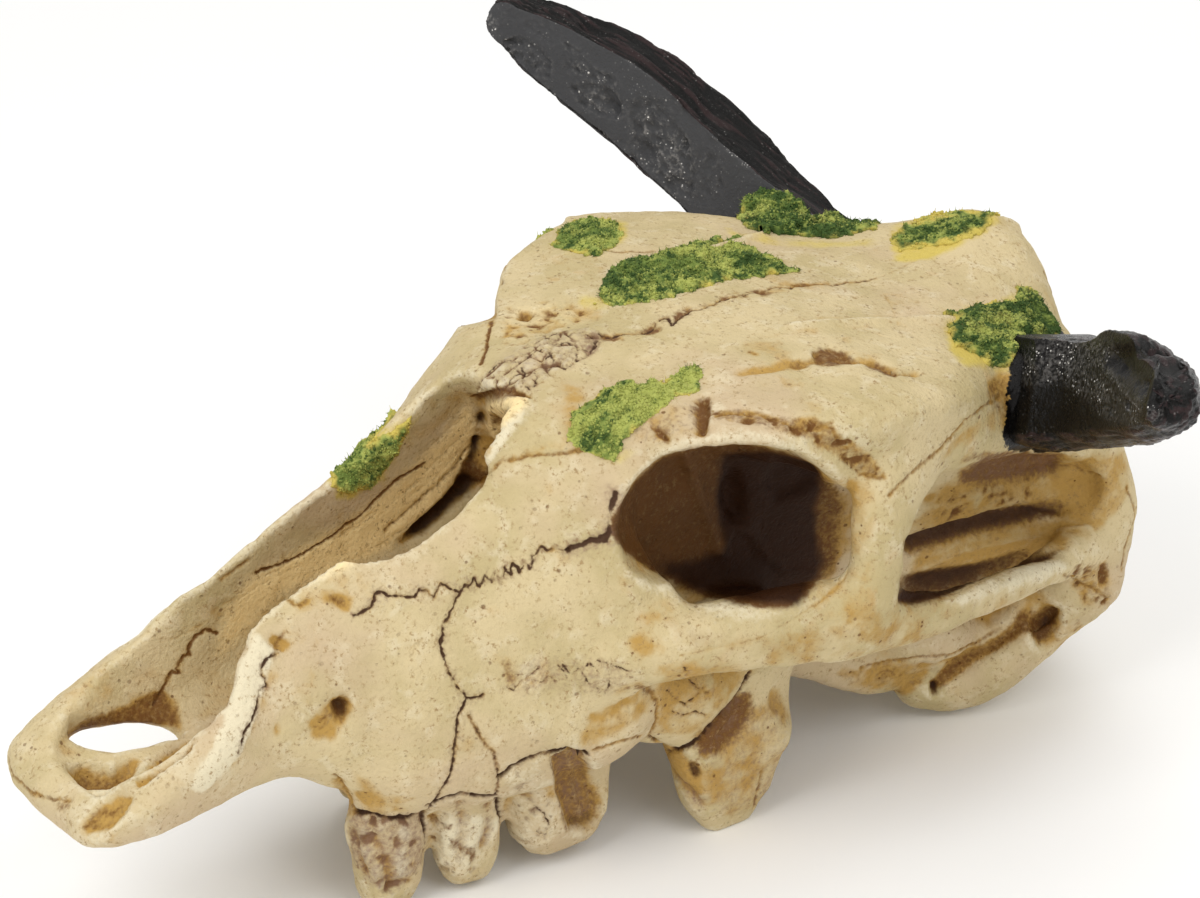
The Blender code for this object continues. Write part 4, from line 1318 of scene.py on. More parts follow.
    def zone_layers(self) -> dict[str, Array]:
        """Every tint layer of the zones, and the depth to which they sink."""
        seen, share = self.sight()
        names = "sink ink lilac rust ochre umber pale gold rough crackle yellow black".split()
        layers = {name: np.zeros(len(seen)) for name in names}
        lay_zones(layers, ZONES, seen, share)
        borrowed = self.skin.averaged((share < 1.0).astype(float), 8)
        for name, values in layers.items():
            near = self.skin.averaged(values, 2)
            layers[name] = near + (self.skin.averaged(near, self.borrow_blur) - near) * borrowed
        behind = BEHIND.picture(self.skin.points * MM)
        rear = smooth_step((self.skin.normals[:, 1] - 0.2) / 0.3) * (self.skin.points[:, 1] > 70.0)
        lay_zones(layers, BACK_ZONES, behind, rear * borrowed)
        return layers

    def carve(self) -> None:
        """Refine the skin round the fine lines, then cut and raise every mark, zone and the grain."""
        skin = self.skin
        sharp = np.array([tuple(row) for row in self.marks.sharp])
        for longest, reach in ((0.75, 0.8), (0.45, 0.6)):
            skin.refine(lambda middle, half: gaps(middle, sharp, reach + 1.0)[0] < reach + half, longest)
            LOG.info("skin refined to %d points", len(skin.points))
        layers = self.zone_layers()

        def lay(name: str, values: Array) -> None:
            """Raise a layer to some values."""
            layers[name] = np.maximum(layers[name], values)

        relief = 0.34 * skin.lumps(11.0, 3.1) + 0.22 * skin.lumps(4.6, 8.4) + 0.12 * skin.lumps(2.1, 1.7)
        relief -= layers.pop("sink")
        pitted = np.clip(-skin.lumps(1.7, 5.5) - 0.05, 0.0, 0.6) + np.clip(-skin.lumps(3.4, 2.5), 0.0, 0.6)
        rough = layers.pop("rough")
        relief -= 0.9 * rough * pitted
        lay("rust", rough * np.clip(pitted * 2.2 - 0.25, 0.0, 1.0))
        crackle = layers.pop("crackle")
        wobble = 0.9 * skin.lumps(0.9, 2.2) + 0.5 * skin.lumps(2.6, 7.7)
        press = np.clip(0.85 + 0.9 * skin.lumps(3.3, 4.4), 0.3, 1.0)
        cracks = self.cracks(np.flatnonzero(crackle > 0.02), 4.2) * crackle * press
        relief -= 0.6 * cracks
        lay("ink", cracks * 0.42)
        lay("rust", cracks * 0.9)
        for mark, samples in self.marks.rows.items():
            half, depth, ink, reach, lilac, rust, ochre = mark.value
            facing = np.array([tuple(n) for n in self.marks.facing[mark]])
            rows = np.array([tuple(row) for row in samples])
            distance = skin.nearest(rows, facing, max(half * 2.5, reach * 1.7))
            line = np.clip(distance + 0.25 * wobble, 0.0, None) if mark.fine else distance
            relief -= depth * np.exp(-((line / half) ** 2)) * (press if depth > 0.0 else 1.0)
            wash = np.exp(-((distance / reach) ** 2))
            lay("ink", ink * press * np.exp(-((line / (half * 1.1)) ** 2)))
            lay("lilac", lilac * wash * press)
            lay("rust", rust * np.exp(-((line / (reach * 0.5)) ** 2)))
            lay("ochre", ochre * wash)
        skin.push(relief)
        for name, values in layers.items():
            skin.paint(name, values)
        thin = skin.obj.modifiers.new("thin", "DECIMATE")
        thin.ratio = min(1.0, self.triangles / sum(len(face.vertices) - 2 for face in skin.obj.data.polygons))
        thin.use_collapse_triangulate = True
        bake(skin.obj)
        skin.read()
        self.layers = {name: skin.values(name) for name in layers}

    def cracks(self, where: Array, size: float) -> Array:
        """Cracks between cells: 1 on a crack, 0 inside a cell.

        Args:
            where: The points that are looked at.
            size: The cells' size in millimetres.

        Returns:
            A value for each of the skin's points.
        """
        value = np.zeros(len(self.skin.points))
        for index in where:
            place = Vector(self.skin.points[index] / size)
            near, _ = noise.voronoi(place + noise.noise_vector(place * 0.8) * 0.35)
            value[index] = math.exp(-(((near[1] - near[0]) / 0.11) ** 2))
        return value

    def shade(self) -> Array:
        """How shut in each point lies, from 0 in the open to 1 deep inside; the bone's paint uses it as
        painted shade.
        """
        twin = new_object("coarse", self.skin.obj.data.copy())
        thin = twin.modifiers.new("thin", "DECIMATE")
        thin.ratio = 0.12
        bake(twin)
        coarse = Skin(twin)
        tree = coarse.tree()
        rays = []
        for i in range(self.deep_rays):
            rise = math.sqrt((i + 0.5) / self.deep_rays)
            turn = i * math.pi * (3.0 - math.sqrt(5.0))
            flat = math.sqrt(1.0 - rise * rise)
            rays.append(Vector((flat * math.cos(turn), flat * math.sin(turn), rise)))
        shut = np.zeros(len(coarse.points))
        for index, (row, normal) in enumerate(zip(coarse.points, coarse.normals)):
            spin = Vector(normal).to_track_quat("Z", "Y")
            start = Vector(row) + Vector(normal) * 0.6
            blocked = 0.0
            for ray in rays:
                hit = tree.ray_cast(start, spin @ ray, self.deep_reach)
                if hit[0] is not None:
                    blocked += 1.0 - 0.5 * hit[3] / self.deep_reach
            shut[index] = blocked / len(rays)
        shut = coarse.averaged(shut, 2)
        search = search_tree(coarse.points)
        deep = np.zeros(len(self.skin.points))
        for index, (row, normal) in enumerate(zip(self.skin.points, self.skin.normals)):
            best, total = 0.0, 0.0
            for _, found, gap in search.find_n(row, 5):
                weight = max(float(coarse.normals[found] @ normal), 0.02) ** 2 / (gap + 0.5)
                best += weight * shut[found]
                total += weight
            deep[index] = best / total
        bpy.data.objects.remove(twin)
        return deep

    def weather(self, moss: Array, horns: Array) -> None:
        """Store what the paint follows, the painted shade of shut-in places among it.

        Args:
            moss: The yellow halo round the moss, 0 to 1.
            horns: The distance to the nearest horn in millimetres.
        """
        skin = self.skin
        hollow = skin.averaged(skin.hollowness(), 2)
        layers = self.layers
        layers["ochre"] = layers["ochre"] + np.clip(hollow * 5.0, -0.25, 0.6)
        layers["pale"] = np.clip(layers["pale"] + np.clip(-hollow * 6.0 - 0.2, 0.0, 0.55), 0.0, 1.0)
        # deep: how shut in each point lies, painted into the bone as shade
        layers["deep"] = self.shade()
        layers["halo"] = np.maximum(moss, layers.pop("yellow"))
        collar = layers.pop("black") * smooth_step((self.black_reach - horns) / 3.0)
        layers["smear"] = np.maximum(1.0 - horns / self.black_rim, collar)
        for name in ("yellow", "black"):
            skin.obj.data.attributes.remove(skin.obj.data.attributes[name])
        for name, values in layers.items():
            skin.paint(name, values)

    def dress(self, paint: Material) -> None:
        """Give the skin its material and place it in the frame."""
        hand_over(self.skin.obj, paint, "cast_bone", *CASTING)


def bake(obj: Object) -> None:
    """Apply an object's modifiers to its mesh."""
    graph = bpy.context.evaluated_depsgraph_get()
    data = bpy.data.meshes.new_from_object(obj.evaluated_get(graph))
    obj.modifiers.clear()
    old = obj.data
    obj.data = data
    bpy.data.meshes.remove(old)


def spline(rows: Sequence[Sequence[float]], steps: int) -> Array:
    """A smooth line through rows of values, with so many steps between two rows."""
    table = np.array(rows, float)
    out = []
    for i in range(len(table) - 1):
        a, b, c, d = (table[min(max(i + k, 0), len(table) - 1)] for k in (-1, 0, 1, 2))
        for t in np.arange(steps) / steps:
            cubic = (3 * b - a - 3 * c + d) * t**3 + (2 * a - 5 * b + 4 * c - d) * t**2
            out.append(0.5 * (2 * b + (c - a) * t + cubic))
    out.append(table[-1])
    return np.array(out)


class Side(Enum):
    """The animal's two sides."""

    LEFT = 1
    RIGHT = -1


FAR_HORN_ZONES = zones("""
soft 4 pale 0.75 484,12 492,14 497,22 495,31 488,32 483,24
soft 7 sink 0.1 rough 1 503,40 520,38 540,46 552,62 548,76 530,72 515,58 503,50
soft 5 sink -0.4 rough 0.7 566,44 580,48 588,64 604,74 618,80 612,86 590,80 572,68
soft 8 sink 0.2 rough 1 573,88 590,82 612,90 622,104 616,118 598,114 580,104
soft 9 sink 0.4 rough 1 630,104 652,100 672,122 690,150 694,180 690,198 668,190 650,168 634,140
soft 6 sink 0.2 rough 1 590,124 604,134 630,160 655,186 668,200 656,202 628,176 600,146
soft 3 sink 1.6 rough 1 606,98 614,98 617,106 610,110 604,105
soft 3 sink 1.8 rough 1 640,142 650,144 654,154 646,160 638,152
soft 4 pale 0.5 668,132 674,140 680,170 678,184 672,168 668,150
""")
# Near horn: a sunk facet past the ridge, then three pale zones that are painted highlights: the lit ridge, a
# sheen along the top, and glints left of the ridge
NEAR_HORN_ZONES = zones("""
soft 10 sink 1.9 black 1 1108,352 1130,345 1160,344 1182,356 1190,380 1184,412 1170,420 1150,402 1128,378
 1112,364
soft 5 sink -0.3 pale 0.55 1096,358 1102,362 1124,384 1146,404 1164,414 1160,421 1138,412 1112,382
soft 16 pale 0.5 1020,352 1050,342 1096,336 1112,346 1100,368 1060,380 1026,384
soft 16 pale 0.42 1062,352 1104,376 1136,408 1150,428 1116,424 1084,398 1056,372
""")


@dataclass
class Horn:
    """One blunt horn with a flat, pitted front face.

    drop is how far it sits below the table's heights in millimetres, and worn how worn its flat face
    is, from 0 to 1. The table holds x, y, z, half breadth and half height along the horn.
    """

    side: Side
    drop: float
    worn: float
    pulls: tuple[Pull, ...]
    zones: tuple[Zone, ...]
    middle_y: float = 121.66
    floor_z: float = -0.87
    rings: int = 32
    around: int = 140
    flat_way: Triple = (-0.49, -0.81, 0.30)
    flat_share: float = 0.62
    rear_way: Triple = (-0.32, 0.24, 0.86)
    rear_share: float = 0.74
    table: tuple[tuple[float, ...], ...] = (
        (34.0, 211.0, 82.0, 12.0, 11.0),
        (40.0, 210.0, 84.0, 14.0, 12.5),
        (48.0, 208.5, 86.5, 14.0, 12.3),
        (62.0, 205.5, 93.0, 13.5, 11.5),
        (82.0, 198.0, 104.0, 12.5, 10.5),
        (98.0, 188.5, 112.5, 10.0, 8.5),
        (106.5, 182.5, 117.0, 6.5, 5.5),
    )
    skin: Skin = field(init=False)

    @property
    def name(self) -> str:
        """The piece's name."""
        return f"{self.side.name.lower()}_horn"

    def build(self, portrait: Portrait) -> None:
        """Loft the horn, then pit and grain it."""
        rows = spline(self.table, self.rings)
        sign = self.side.value
        rise = self.floor_z + self.drop
        centres = np.stack((sign * rows[:, 0], rows[:, 1] - self.middle_y, rows[:, 2] - rise), 1)
        faces = [
            (np.array((sign * way[0], *way[1:])), share)
            for way, share in ((self.flat_way, self.flat_share), (self.rear_way, self.rear_share))
        ]
        rings, masks = [], []
        count = len(rows)
        for i in range(count):
            along = centres[min(i + 1, count - 1)] - centres[max(i - 1, 0)]
            along /= np.linalg.norm(along)
            if i == 0:
                steps = [(-math.sin(t), math.cos(t)) for t in np.linspace(1.35, 0.15, 8)]
            elif i == count - 1:
                steps = [(math.sin(t), math.cos(t)) for t in np.linspace(0.1, 1.5, 14)]
            else:
                steps = [(0.0, 1.0)]
            for reach, share in steps:
                ring, mask = self.ring(centres[i], along, rows[i, 3:], faces, reach, share)
                rings.append(ring)
                masks.append(mask)
        mesh = bmesh.new()
        layer = mesh.verts.layers.float.new("flat")
        loops = []
        for ring, mask in zip(rings, masks):
            loop = []
            for point, value in zip(ring, mask):
                vertex = mesh.verts.new(point * MM)
                vertex[layer] = value
                loop.append(vertex)
            loops.append(loop)
        for first, second in zip(loops, loops[1:]):
            for k in range(self.around):
                j = (k + 1) % self.around
                mesh.faces.new((first[k], first[j], second[j], second[k]))
        for loop in (loops[0], loops[-1]):
            hub = mesh.verts.new(sum((v.co for v in loop), Vector()) / len(loop))
            for k in range(self.around):
                mesh.faces.new((loop[k], loop[(k + 1) % self.around], hub))
        bmesh.ops.recalc_face_normals(mesh, faces=mesh.faces)
        data = bpy.data.meshes.new(self.name)
        mesh.to_mesh(data)
        mesh.free()
        self.skin = Skin(new_object(self.name, data))
        self.skin.points = pulled(self.skin.points, portrait, self.skin.tree(), self.pulls)
        self.skin.write()
        past = np.clip(beyond(portrait.picture(self.skin.points * MM), TIP_SIDE, 0), 0.0, 60.0)
        self.skin.shift(past, portrait.step(TIP_SPOT, -TRIM, 0.0))
        self.roughen(centres, portrait)

    def ring(
        self,
        centre: Array,
        along: Array,
        size: Array,
        faces: list[tuple[Array, float]],
        reach: float,
        share: float,
    ) -> tuple[Array, Array]:
        """One ring of the horn.

        Args:
            centre: The ring's middle.
            along: The horn's direction there.
            size: Half breadth and half height.
            faces: Where the front and rear flat faces look, and how far out they lie as a share.
            reach: How far past the middle the ring sits, in half heights.
            share: The ring's size as a share of the full one.

        Returns:
            The points, and for each how fully it lies on the front face.
        """
        across = np.array((0.0, 1.0, 0.0)) - along * along[1]
        across /= np.linalg.norm(across)
        upward = np.cross(along, across)
        turns = 2 * np.pi * np.arange(self.around) / self.around
        broad, tall = size * share
        points = np.outer(np.cos(turns) * broad, across) + np.outer(np.sin(turns) * tall, upward)
        reached = []
        full = share * size.mean()
        for way, part in faces:
            outward = way - along * (way @ along)
            outward /= np.linalg.norm(outward)
            over = points @ outward - part * full
            points -= np.outer(np.maximum(over, 0.0), outward)
            reached.append(over / full)
        mask = smooth_step((reached[0] - np.maximum(reached[1], -0.02)) / 0.1)
        return points + centre + along * (reach * size.min()), mask

    def traced(self, portrait: Portrait) -> dict[str, Array]:
        """The layers of the zones that are traced on this horn, where the portrait sees it."""
        skin = self.skin
        seen = portrait.picture(skin.points * MM)
        facing = smooth_step(skin.normals @ np.array(portrait.back) / 0.25)
        layers = {name: np.zeros(len(seen)) for name in ("sink", "rough", "pale", "black")}
        lay_zones(layers, self.zones, seen, facing)
        return layers

    def roughen(self, centres: Array, portrait: Portrait) -> None:
        """Scars and pits in the flat face, long grain along the rest."""
        skin = self.skin
        flat = skin.averaged(skin.values("flat"), 2)
        layers = self.traced(portrait)
        path = centres[-1] - centres[0]
        path /= np.linalg.norm(path)
        station = (skin.points - centres[0]) @ path
        station /= station.max()
        stretched = skin.points - np.outer(skin.points @ path, path) * 0.9
        grain = np.array([noise.fractal(Vector(row) * 0.8, 1.0, 2.0, 3) for row in stretched])
        broad = skin.lumps(10.0, 5.0)
        scar = smooth_step((skin.lumps(8.5, 13.0) + 0.35 * skin.lumps(3.0, 4.0) - 0.16) / 0.1)
        drawn = smooth_step((layers["rough"] + 0.5 * skin.lumps(4.0, 6.0) - 0.3) / 0.25)
        scar = np.maximum(scar * 0.35, drawn)
        gouge = np.clip(skin.lumps(2.6, 9.0) - 0.05, 0.0, 0.6) + np.clip(skin.lumps(1.3, 3.0), 0.0, 0.6)
        holes = smooth_step((skin.lumps(3.1, 21.0) - 0.40) / 0.12) * (0.1 + 0.9 * scar)
        relief = 0.45 * broad + 0.5 * grain * (1.0 - flat) + 0.06 * skin.lumps(1.4, 7.0)
        relief -= scar * (0.25 + 1.0 * gouge) + 0.9 * holes
        relief *= np.clip(station * 8.0 - 0.6, 0.0, 1.0)
        skin.push(relief - skin.averaged(layers["sink"], 8))
        grey = flat * (self.worn + (1.0 - self.worn) * np.clip(station * 2.0 - 1.2, 0.0, 0.2))
        skin.paint("flat", grey * (1.0 - layers["black"]))
        skin.paint("grain", 0.5 + 0.9 * grain * (1.0 - flat))
        skin.paint("gloss", np.full(len(grain), 1.0 - self.worn))
        edge = skin.averaged(-skin.hollowness(), 1)
        rub = np.clip(edge * 9.0, 0.0, 1.0) * (0.08 + 0.5 * flat * self.worn + 0.8 * scar * self.worn)
        # The traced pale zones add to the edge wear; on the near horn they are painted highlights, the sheen
        # of its top and its lit ridge
        skin.paint("rubbed_and_sheen", rub + layers["pale"])

    def dress(self, paint: Material) -> None:
        """Give the horn its material and place it in the frame."""
        hand_over(self.skin.obj, paint, "black_horn", f"horn_{self.side.name.lower()}")


@dataclass(frozen=True)
class MossPatch:
    """Where one moss pad grows: its CAD node, its outline in the picture, its height in millimetres.

    yellow is how yellow its edge is, and light how much lighter it is than the other pads.
    """

    node: str
    outline: str
    height: float
    yellow: float
    light: float
    pulls: tuple[Pull, ...] = ()


MOSS_PATCHES = (
    MossPatch(
        "moss_brow_right",
        "550,246 560,230 578,220 600,218 618,224 624,236 612,249 600,257 575,254",
        height=1.6,
        yellow=0.1,
        light=0.03,
    ),
    MossPatch(
        "moss_forehead",
        "578,302 600,306 600,285 612,270 630,260 655,258 665,250 690,245 710,246 750,246 764,256 790,267 "
        "802,272 760,277 720,282 700,289 670,298 640,304 610,307",
        height=2.3,
        yellow=0.0,
        light=0.0,
    ),
    MossPatch(
        "moss_horn_right",
        "735,206 745,194 755,187 775,180 800,187 830,190 852,198 867,213 880,228 850,236 820,238 770,234 "
        "745,228",
        height=2.8,
        yellow=0.0,
        light=-0.09,
        pulls=FAR_MOSS_PULLS,
    ),
    MossPatch(
        "moss_poll",
        "888,240 905,226 940,216 965,210 988,213 993,222 978,236 950,245 925,248 900,252",
        height=1.2,
        yellow=0.35,
        light=-0.01,
    ),
    MossPatch(
        "moss_horn_left",
        "947,326 962,311 990,302 1013,300 1016,288 1030,287 1046,298 1062,310 1082,326 1070,338 1035,342 "
        "1018,352 1012,366 990,368 975,352 955,347",
        height=1.9,
        yellow=0.15,
        light=-0.08,
    ),
    MossPatch(
        "moss_brow_left",
        "566,442 573,414 590,400 610,386 625,378 640,386 655,380 665,383 680,370 697,366 703,375 697,394 "
        "674,398 657,414 637,428 622,442 617,464 600,457 590,454",
        height=1.9,
        yellow=0.06,
        light=0.09,
    ),
    MossPatch(
        "moss_muzzle_right",
        "331,487 332,460 345,450 368,443 392,430 412,413 405,440 387,470 374,486 350,494",
        height=1.5,
        yellow=0.25,
        light=0.04,
    ),
)


@dataclass
class MossPad:
    """A lumpy pad of moss on the skull, with tufts scattered over it."""

    patch: MossPatch
    skull: Skull
    portrait: Portrait
    tuft_density: float = 2.4e6
    margin: float = 3.0
    sunk: float = 0.8
    halo_width: float = 1.8
    obj: Object = field(init=False)
    cover: Array = field(init=False)

    @property
    def name(self) -> str:
        """The piece's name."""
        return self.patch.node.replace("moss_", "moss_pad_")

    def reach(self, points: Array, normals: Array) -> Array:
        """How far inside the pad each skin point lies, in millimetres; negative outside.

        Args:
            points: Points of the skull's skin in millimetres.
            normals: Their normals.

        Returns:
            Signed depths.
        """
        low, high = (np.array(corner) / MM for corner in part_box(self.patch.node))
        near = ((points > low - 9.0) & (points < high + 9.0)).all(1)
        index = np.flatnonzero(near)
        seen = self.portrait.picture(points[index] * MM)
        inside = signed_depth(seen, np.array(pixels(self.patch.outline))) / 5.0
        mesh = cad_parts[self.patch.node].data
        corners = [tuple(face.vertices) for face in mesh.polygons]
        pad = BVHTree.FromPolygons([v.co / MM for v in mesh.vertices], corners)
        gap = np.array([pad.find_nearest(Vector(row))[3] for row in points[index]])
        from_pad = 1.6 - gap
        facing = smooth_step((normals[index] @ np.array(self.portrait.back)) / 0.3)
        value = inside * facing + from_pad * (1.0 - facing)
        depth = np.full(len(points), -9.0)
        depth[index] = np.where(gap > 8.0, np.minimum(value, 7.0 - gap), value)
        return depth

    def build(self, paint: Material, tufts: "TuftScatter") -> None:
        """Raise the pad from the skull's skin and scatter the tufts."""
        skin = self.skull.skin
        self.cover = skin.averaged(self.reach(skin.points, skin.normals), 2)
        source = bmesh.new()
        source.from_mesh(skin.obj.data)
        source.faces.ensure_lookup_table()
        far = [face for face in source.faces if max(self.cover[v.index] for v in face.verts) < -self.margin]
        bmesh.ops.delete(source, geom=far, context="FACES")
        for longest in (1.4, 0.95, 0.65, 0.5):
            bmesh.ops.triangulate(source, faces=[face for face in source.faces if len(face.verts) > 3])
            long = [edge for edge in source.edges if edge.calc_length() > longest * MM]
            bmesh.ops.subdivide_edges(source, edges=long, cuts=1)
        bmesh.ops.triangulate(source, faces=[face for face in source.faces if len(face.verts) > 3])
        data = bpy.data.meshes.new(self.patch.node)
        source.to_mesh(data)
        source.free()
        self.obj = new_object(self.name, data)
        wide = Skin(self.obj)
        inside = wide.averaged(self.reach(wide.points, wide.normals), 3) + 0.55 * wide.lumps(1.9, 3.0)
        cutter = bmesh.new()
        cutter.from_mesh(data)
        cutter.faces.ensure_lookup_table()
        level = cutter.verts.layers.float.new("level")
        for vertex, value in zip(cutter.verts, inside):
            vertex[level] = value
        bare = [face for face in cutter.faces if min(v[level] for v in face.verts) < 0.0]
        bmesh.ops.delete(cutter, geom=bare, context="FACES")
        inside = np.array([vertex[level] for vertex in cutter.verts])
        cutter.verts.layers.float.remove(level)
        cutter.to_mesh(data)
        cutter.free()
        sheet = Skin(self.obj)
        rise = 1.0 - np.exp(-np.clip(inside + 0.25, 0.0, 9.0) / 1.1)
        crumple = 0.55 + 0.9 * sheet.lumps(4.2, 2.0) + 0.6 * sheet.lumps(2.0, 6.0)
        crumple += 0.25 * sheet.lumps(0.9, 1.0)
        height = self.patch.height * rise * np.clip(crumple, 0.12, 1.6)
        top = sheet.points + sheet.normals * height[:, None]
        top = pulled(top, self.portrait, sheet.tree(), self.patch.pulls)
        self.close(sheet, top)
        shell = Skin(self.obj)
        both = np.concatenate((inside, inside))
        patchy = 0.5 * shell.lumps(3.2, 8.0)
        shell.paint("fringe", 0.62 - both / 2.2 + 1.4 * self.patch.yellow + patchy)
        shell.paint("light", np.full(len(both), 0.5 + self.patch.light))
        shell.paint("shade", 0.5 + 0.4 * shell.lumps(1.6, 4.0))
        tufts.cover(self.obj, self.tuft_density, paint)
        hand_over(self.obj, paint, "moss", self.patch.node)

    def halo(self) -> Array:
        """How strongly the moss stains each point of the skull around it yellow."""
        fade = np.exp(-((np.clip(-self.cover, 0.0, 9.0) / self.halo_width) ** 2))
        return fade * (0.22 + 1.5 * self.patch.yellow)

    def close(self, sheet: Skin, top: Array) -> None:
        """Make the sheet a closed shell: a raised top and an underside sunk in the bone."""
        mesh = bmesh.new()
        mesh.from_mesh(self.obj.data)
        mesh.verts.ensure_lookup_table()
        rim = [edge for edge in mesh.edges if edge.is_boundary]
        faces = list(mesh.faces)
        under = (sheet.points - sheet.normals * self.sunk) * MM
        lower = [mesh.verts.new(row) for row in under]
        mesh.verts.ensure_lookup_table()
        for face in faces:
            corners = [lower[v.index] for v in reversed(face.verts)]
            if not mesh.faces.get(corners):
                mesh.faces.new(corners)
        for edge in rim:
            face = edge.link_faces[0]
            loop = next(item for item in face.loops if item.edge == edge)
            a, b = loop.vert, loop.link_loop_next.vert
            mesh.faces.new((b, a, lower[a.index], lower[b.index]))
        for i, row in enumerate(top):
            mesh.verts[i].co = Vector(row) * MM
        mesh.to_mesh(self.obj.data)
        mesh.free()


def lay_zones(layers: dict[str, Array], patches: Iterable[Zone], seen: Array, share: Array) -> None:
    """Add zones to the layers they name.

    Args:
        layers: The layers by name, one value for each point.
        patches: The zones.
        seen: Where each point falls in the picture the zones are drawn in.
        share: How much each point takes of them.
    """
    for zone in patches:
        cover = zone.mask(seen) * share
        layers["sink"] += cover * zone.sink
        for name, strength in zone.layers.items():
            layers[name] = np.maximum(layers[name], cover * strength)


def signed_depth(points: Array, outline: Array) -> Array:
    """How far points lie inside a closed outline; negative outside it.

    Args:
        points: N rows of x, y.
        outline: The outline's corners.

    Returns:
        N signed distances.
    """
    inside = np.zeros(len(points), bool)
    best = np.full(len(points), 1e9)
    for a, b in zip(outline, np.roll(outline, -1, axis=0)):
        edge = b - a
        share = np.clip(((points - a) @ edge) / max(edge @ edge, 1e-9), 0.0, 1.0)
        best = np.minimum(best, np.linalg.norm(points - a - share[:, None] * edge, axis=1))
        crosses = (a[1] > points[:, 1]) != (b[1] > points[:, 1])
        at = a[0] + (points[:, 1] - a[1]) * edge[0] / (edge[1] if edge[1] else 1e-9)
        inside ^= crosses & (points[:, 0] < at)
    return np.where(inside, best, -best)


@dataclass
class TuftScatter:
    """A Geometry Nodes tree that grows small crumbs and strands all over a pad."""

    seed: int = 11
    crumb: float = 0.00030
    tree: NodeTree = field(init=False)

    def build(self) -> None:
        """Build the tree once for all pads."""
        tree = bpy.data.node_groups.new("moss_tufts", "GeometryNodeTree")
        names = ("Geometry", "Density", "Crumb", "Seed", "Moss")
        for name, kind in zip(names, ("Geometry", "Float", "Float", "Int", "Material")):
            tree.interface.new_socket(name, in_out="INPUT", socket_type=f"NodeSocket{kind}")
        tree.interface.new_socket("Geometry", in_out="OUTPUT", socket_type="NodeSocketGeometry")
        graph = Tree(tree)
        entry = graph.add("NodeGroupInput")
        leave = graph.add("NodeGroupOutput")
        crumb, strand = self.crumb_shape(graph), self.strand_shape(graph)
        crumbs = self.scatter(graph, entry, 1.0, crumb, (0.5, 0.5, 0.6), (1.5, 1.5, 1.9))
        strands = self.scatter(graph, entry, 0.35, strand, (0.8, 0.8, 1.6), (1.2, 1.2, 3.6))
        both = graph.add("GeometryNodeJoinGeometry")
        for item in (entry.outputs["Geometry"], strands, crumbs):
            graph.tree.links.new(item, both.inputs[0])
        real = graph.add("GeometryNodeRealizeInstances", Geometry=both.outputs[0])
        green = graph.add("GeometryNodeSetMaterial", Geometry=real.outputs[0], Material=entry.outputs["Moss"])
        graph.join(green.outputs[0], leave.inputs[0])
        self.tree = tree

    @staticmethod
    def crumb_shape(graph: Tree) -> Socket:
        """A small lump of twenty faces."""
        return graph.add("GeometryNodeMeshIcoSphere", Radius=1.0, Subdivisions=1).outputs["Mesh"]

    @staticmethod
    def strand_shape(graph: Tree) -> Socket:
        """A short thin spike."""
        cone = graph.add("GeometryNodeMeshCone", Vertices=4, Radius_Top=0.08, Radius_Bottom=0.32, Depth=1.2)
        return cone.outputs["Mesh"]

    def scatter(
        self,
        graph: Tree,
        entry: Node,
        share: float,
        shape: Socket,
        small: Triple,
        large: Triple,
    ) -> Socket:
        """Copies of a shape spread over the pad.

        Args:
            graph: The tree to add to.
            entry: The tree's input node.
            share: The share of the full density.
            shape: What is copied.
            small: The smallest stretch along x, y and z.
            large: The largest.

        Returns:
            The instances.
        """
        seed = entry.outputs["Seed"]
        fringe = graph.add("GeometryNodeInputNamedAttribute", {"data_type": "FLOAT"}, Name="fringe")
        open_share = graph.math("SUBTRACT", 1.15, next(s for s in fringe.outputs if s.enabled))
        density = graph.math("MULTIPLY", entry.outputs["Density"], graph.math("MULTIPLY", open_share, share))
        spread = graph.add(
            "GeometryNodeDistributePointsOnFaces", Mesh=entry.outputs["Geometry"], Density=density, Seed=seed
        )

        def pick(low: Triple, high: Triple) -> Socket:
            """A random vector for each copy, between two vectors."""
            vectors = {"data_type": "FLOAT_VECTOR"}
            node = graph.add("FunctionNodeRandomValue", vectors, Min=low, Max=high, Seed=seed)
            return node.outputs["Value"]

        turned = graph.add("FunctionNodeRotateRotation", {"rotation_space": "LOCAL"})
        graph.join(spread.outputs["Rotation"], turned.inputs[0])
        graph.join(pick((-0.9, -0.9, -3.14), (0.9, 0.9, 3.14)), turned.inputs[1])
        size = graph.add("ShaderNodeVectorMath", {"operation": "SCALE"}, Scale=entry.outputs["Crumb"])
        graph.join(pick(small, large), size.inputs[0])
        copies = graph.add(
            "GeometryNodeInstanceOnPoints",
            Points=spread.outputs["Points"],
            Instance=shape,
            Rotation=turned.outputs[0],
            Scale=size.outputs[0],
        )
        tone = graph.add("FunctionNodeRandomValue", {"data_type": "FLOAT"})
        store = graph.add("GeometryNodeStoreNamedAttribute", {"data_type": "FLOAT", "domain": "INSTANCE"})
        graph.join(copies.outputs[0], store.inputs["Geometry"])
        store.inputs["Name"].default_value = "shade"
        value = next(socket for socket in tone.outputs if socket.type == "VALUE" and socket.enabled)
        graph.join(value, next(s for s in store.inputs if s.name == "Value" and s.enabled))
        return store.outputs[0]

    def cover(self, obj: Object, density: float, paint: Material) -> None:
        """Grow tufts on a pad and make the result its plain mesh."""
        grow = obj.modifiers.new("tufts", "NODES")
        grow.node_group = self.tree
        values = {"Density": density, "Crumb": self.crumb, "Seed": self.seed, "Moss": paint}
        for item in self.tree.interface.items_tree:
            if item.in_out == "INPUT" and item.name in values:
                grow[item.identifier] = values[item.name]
        bake(obj)


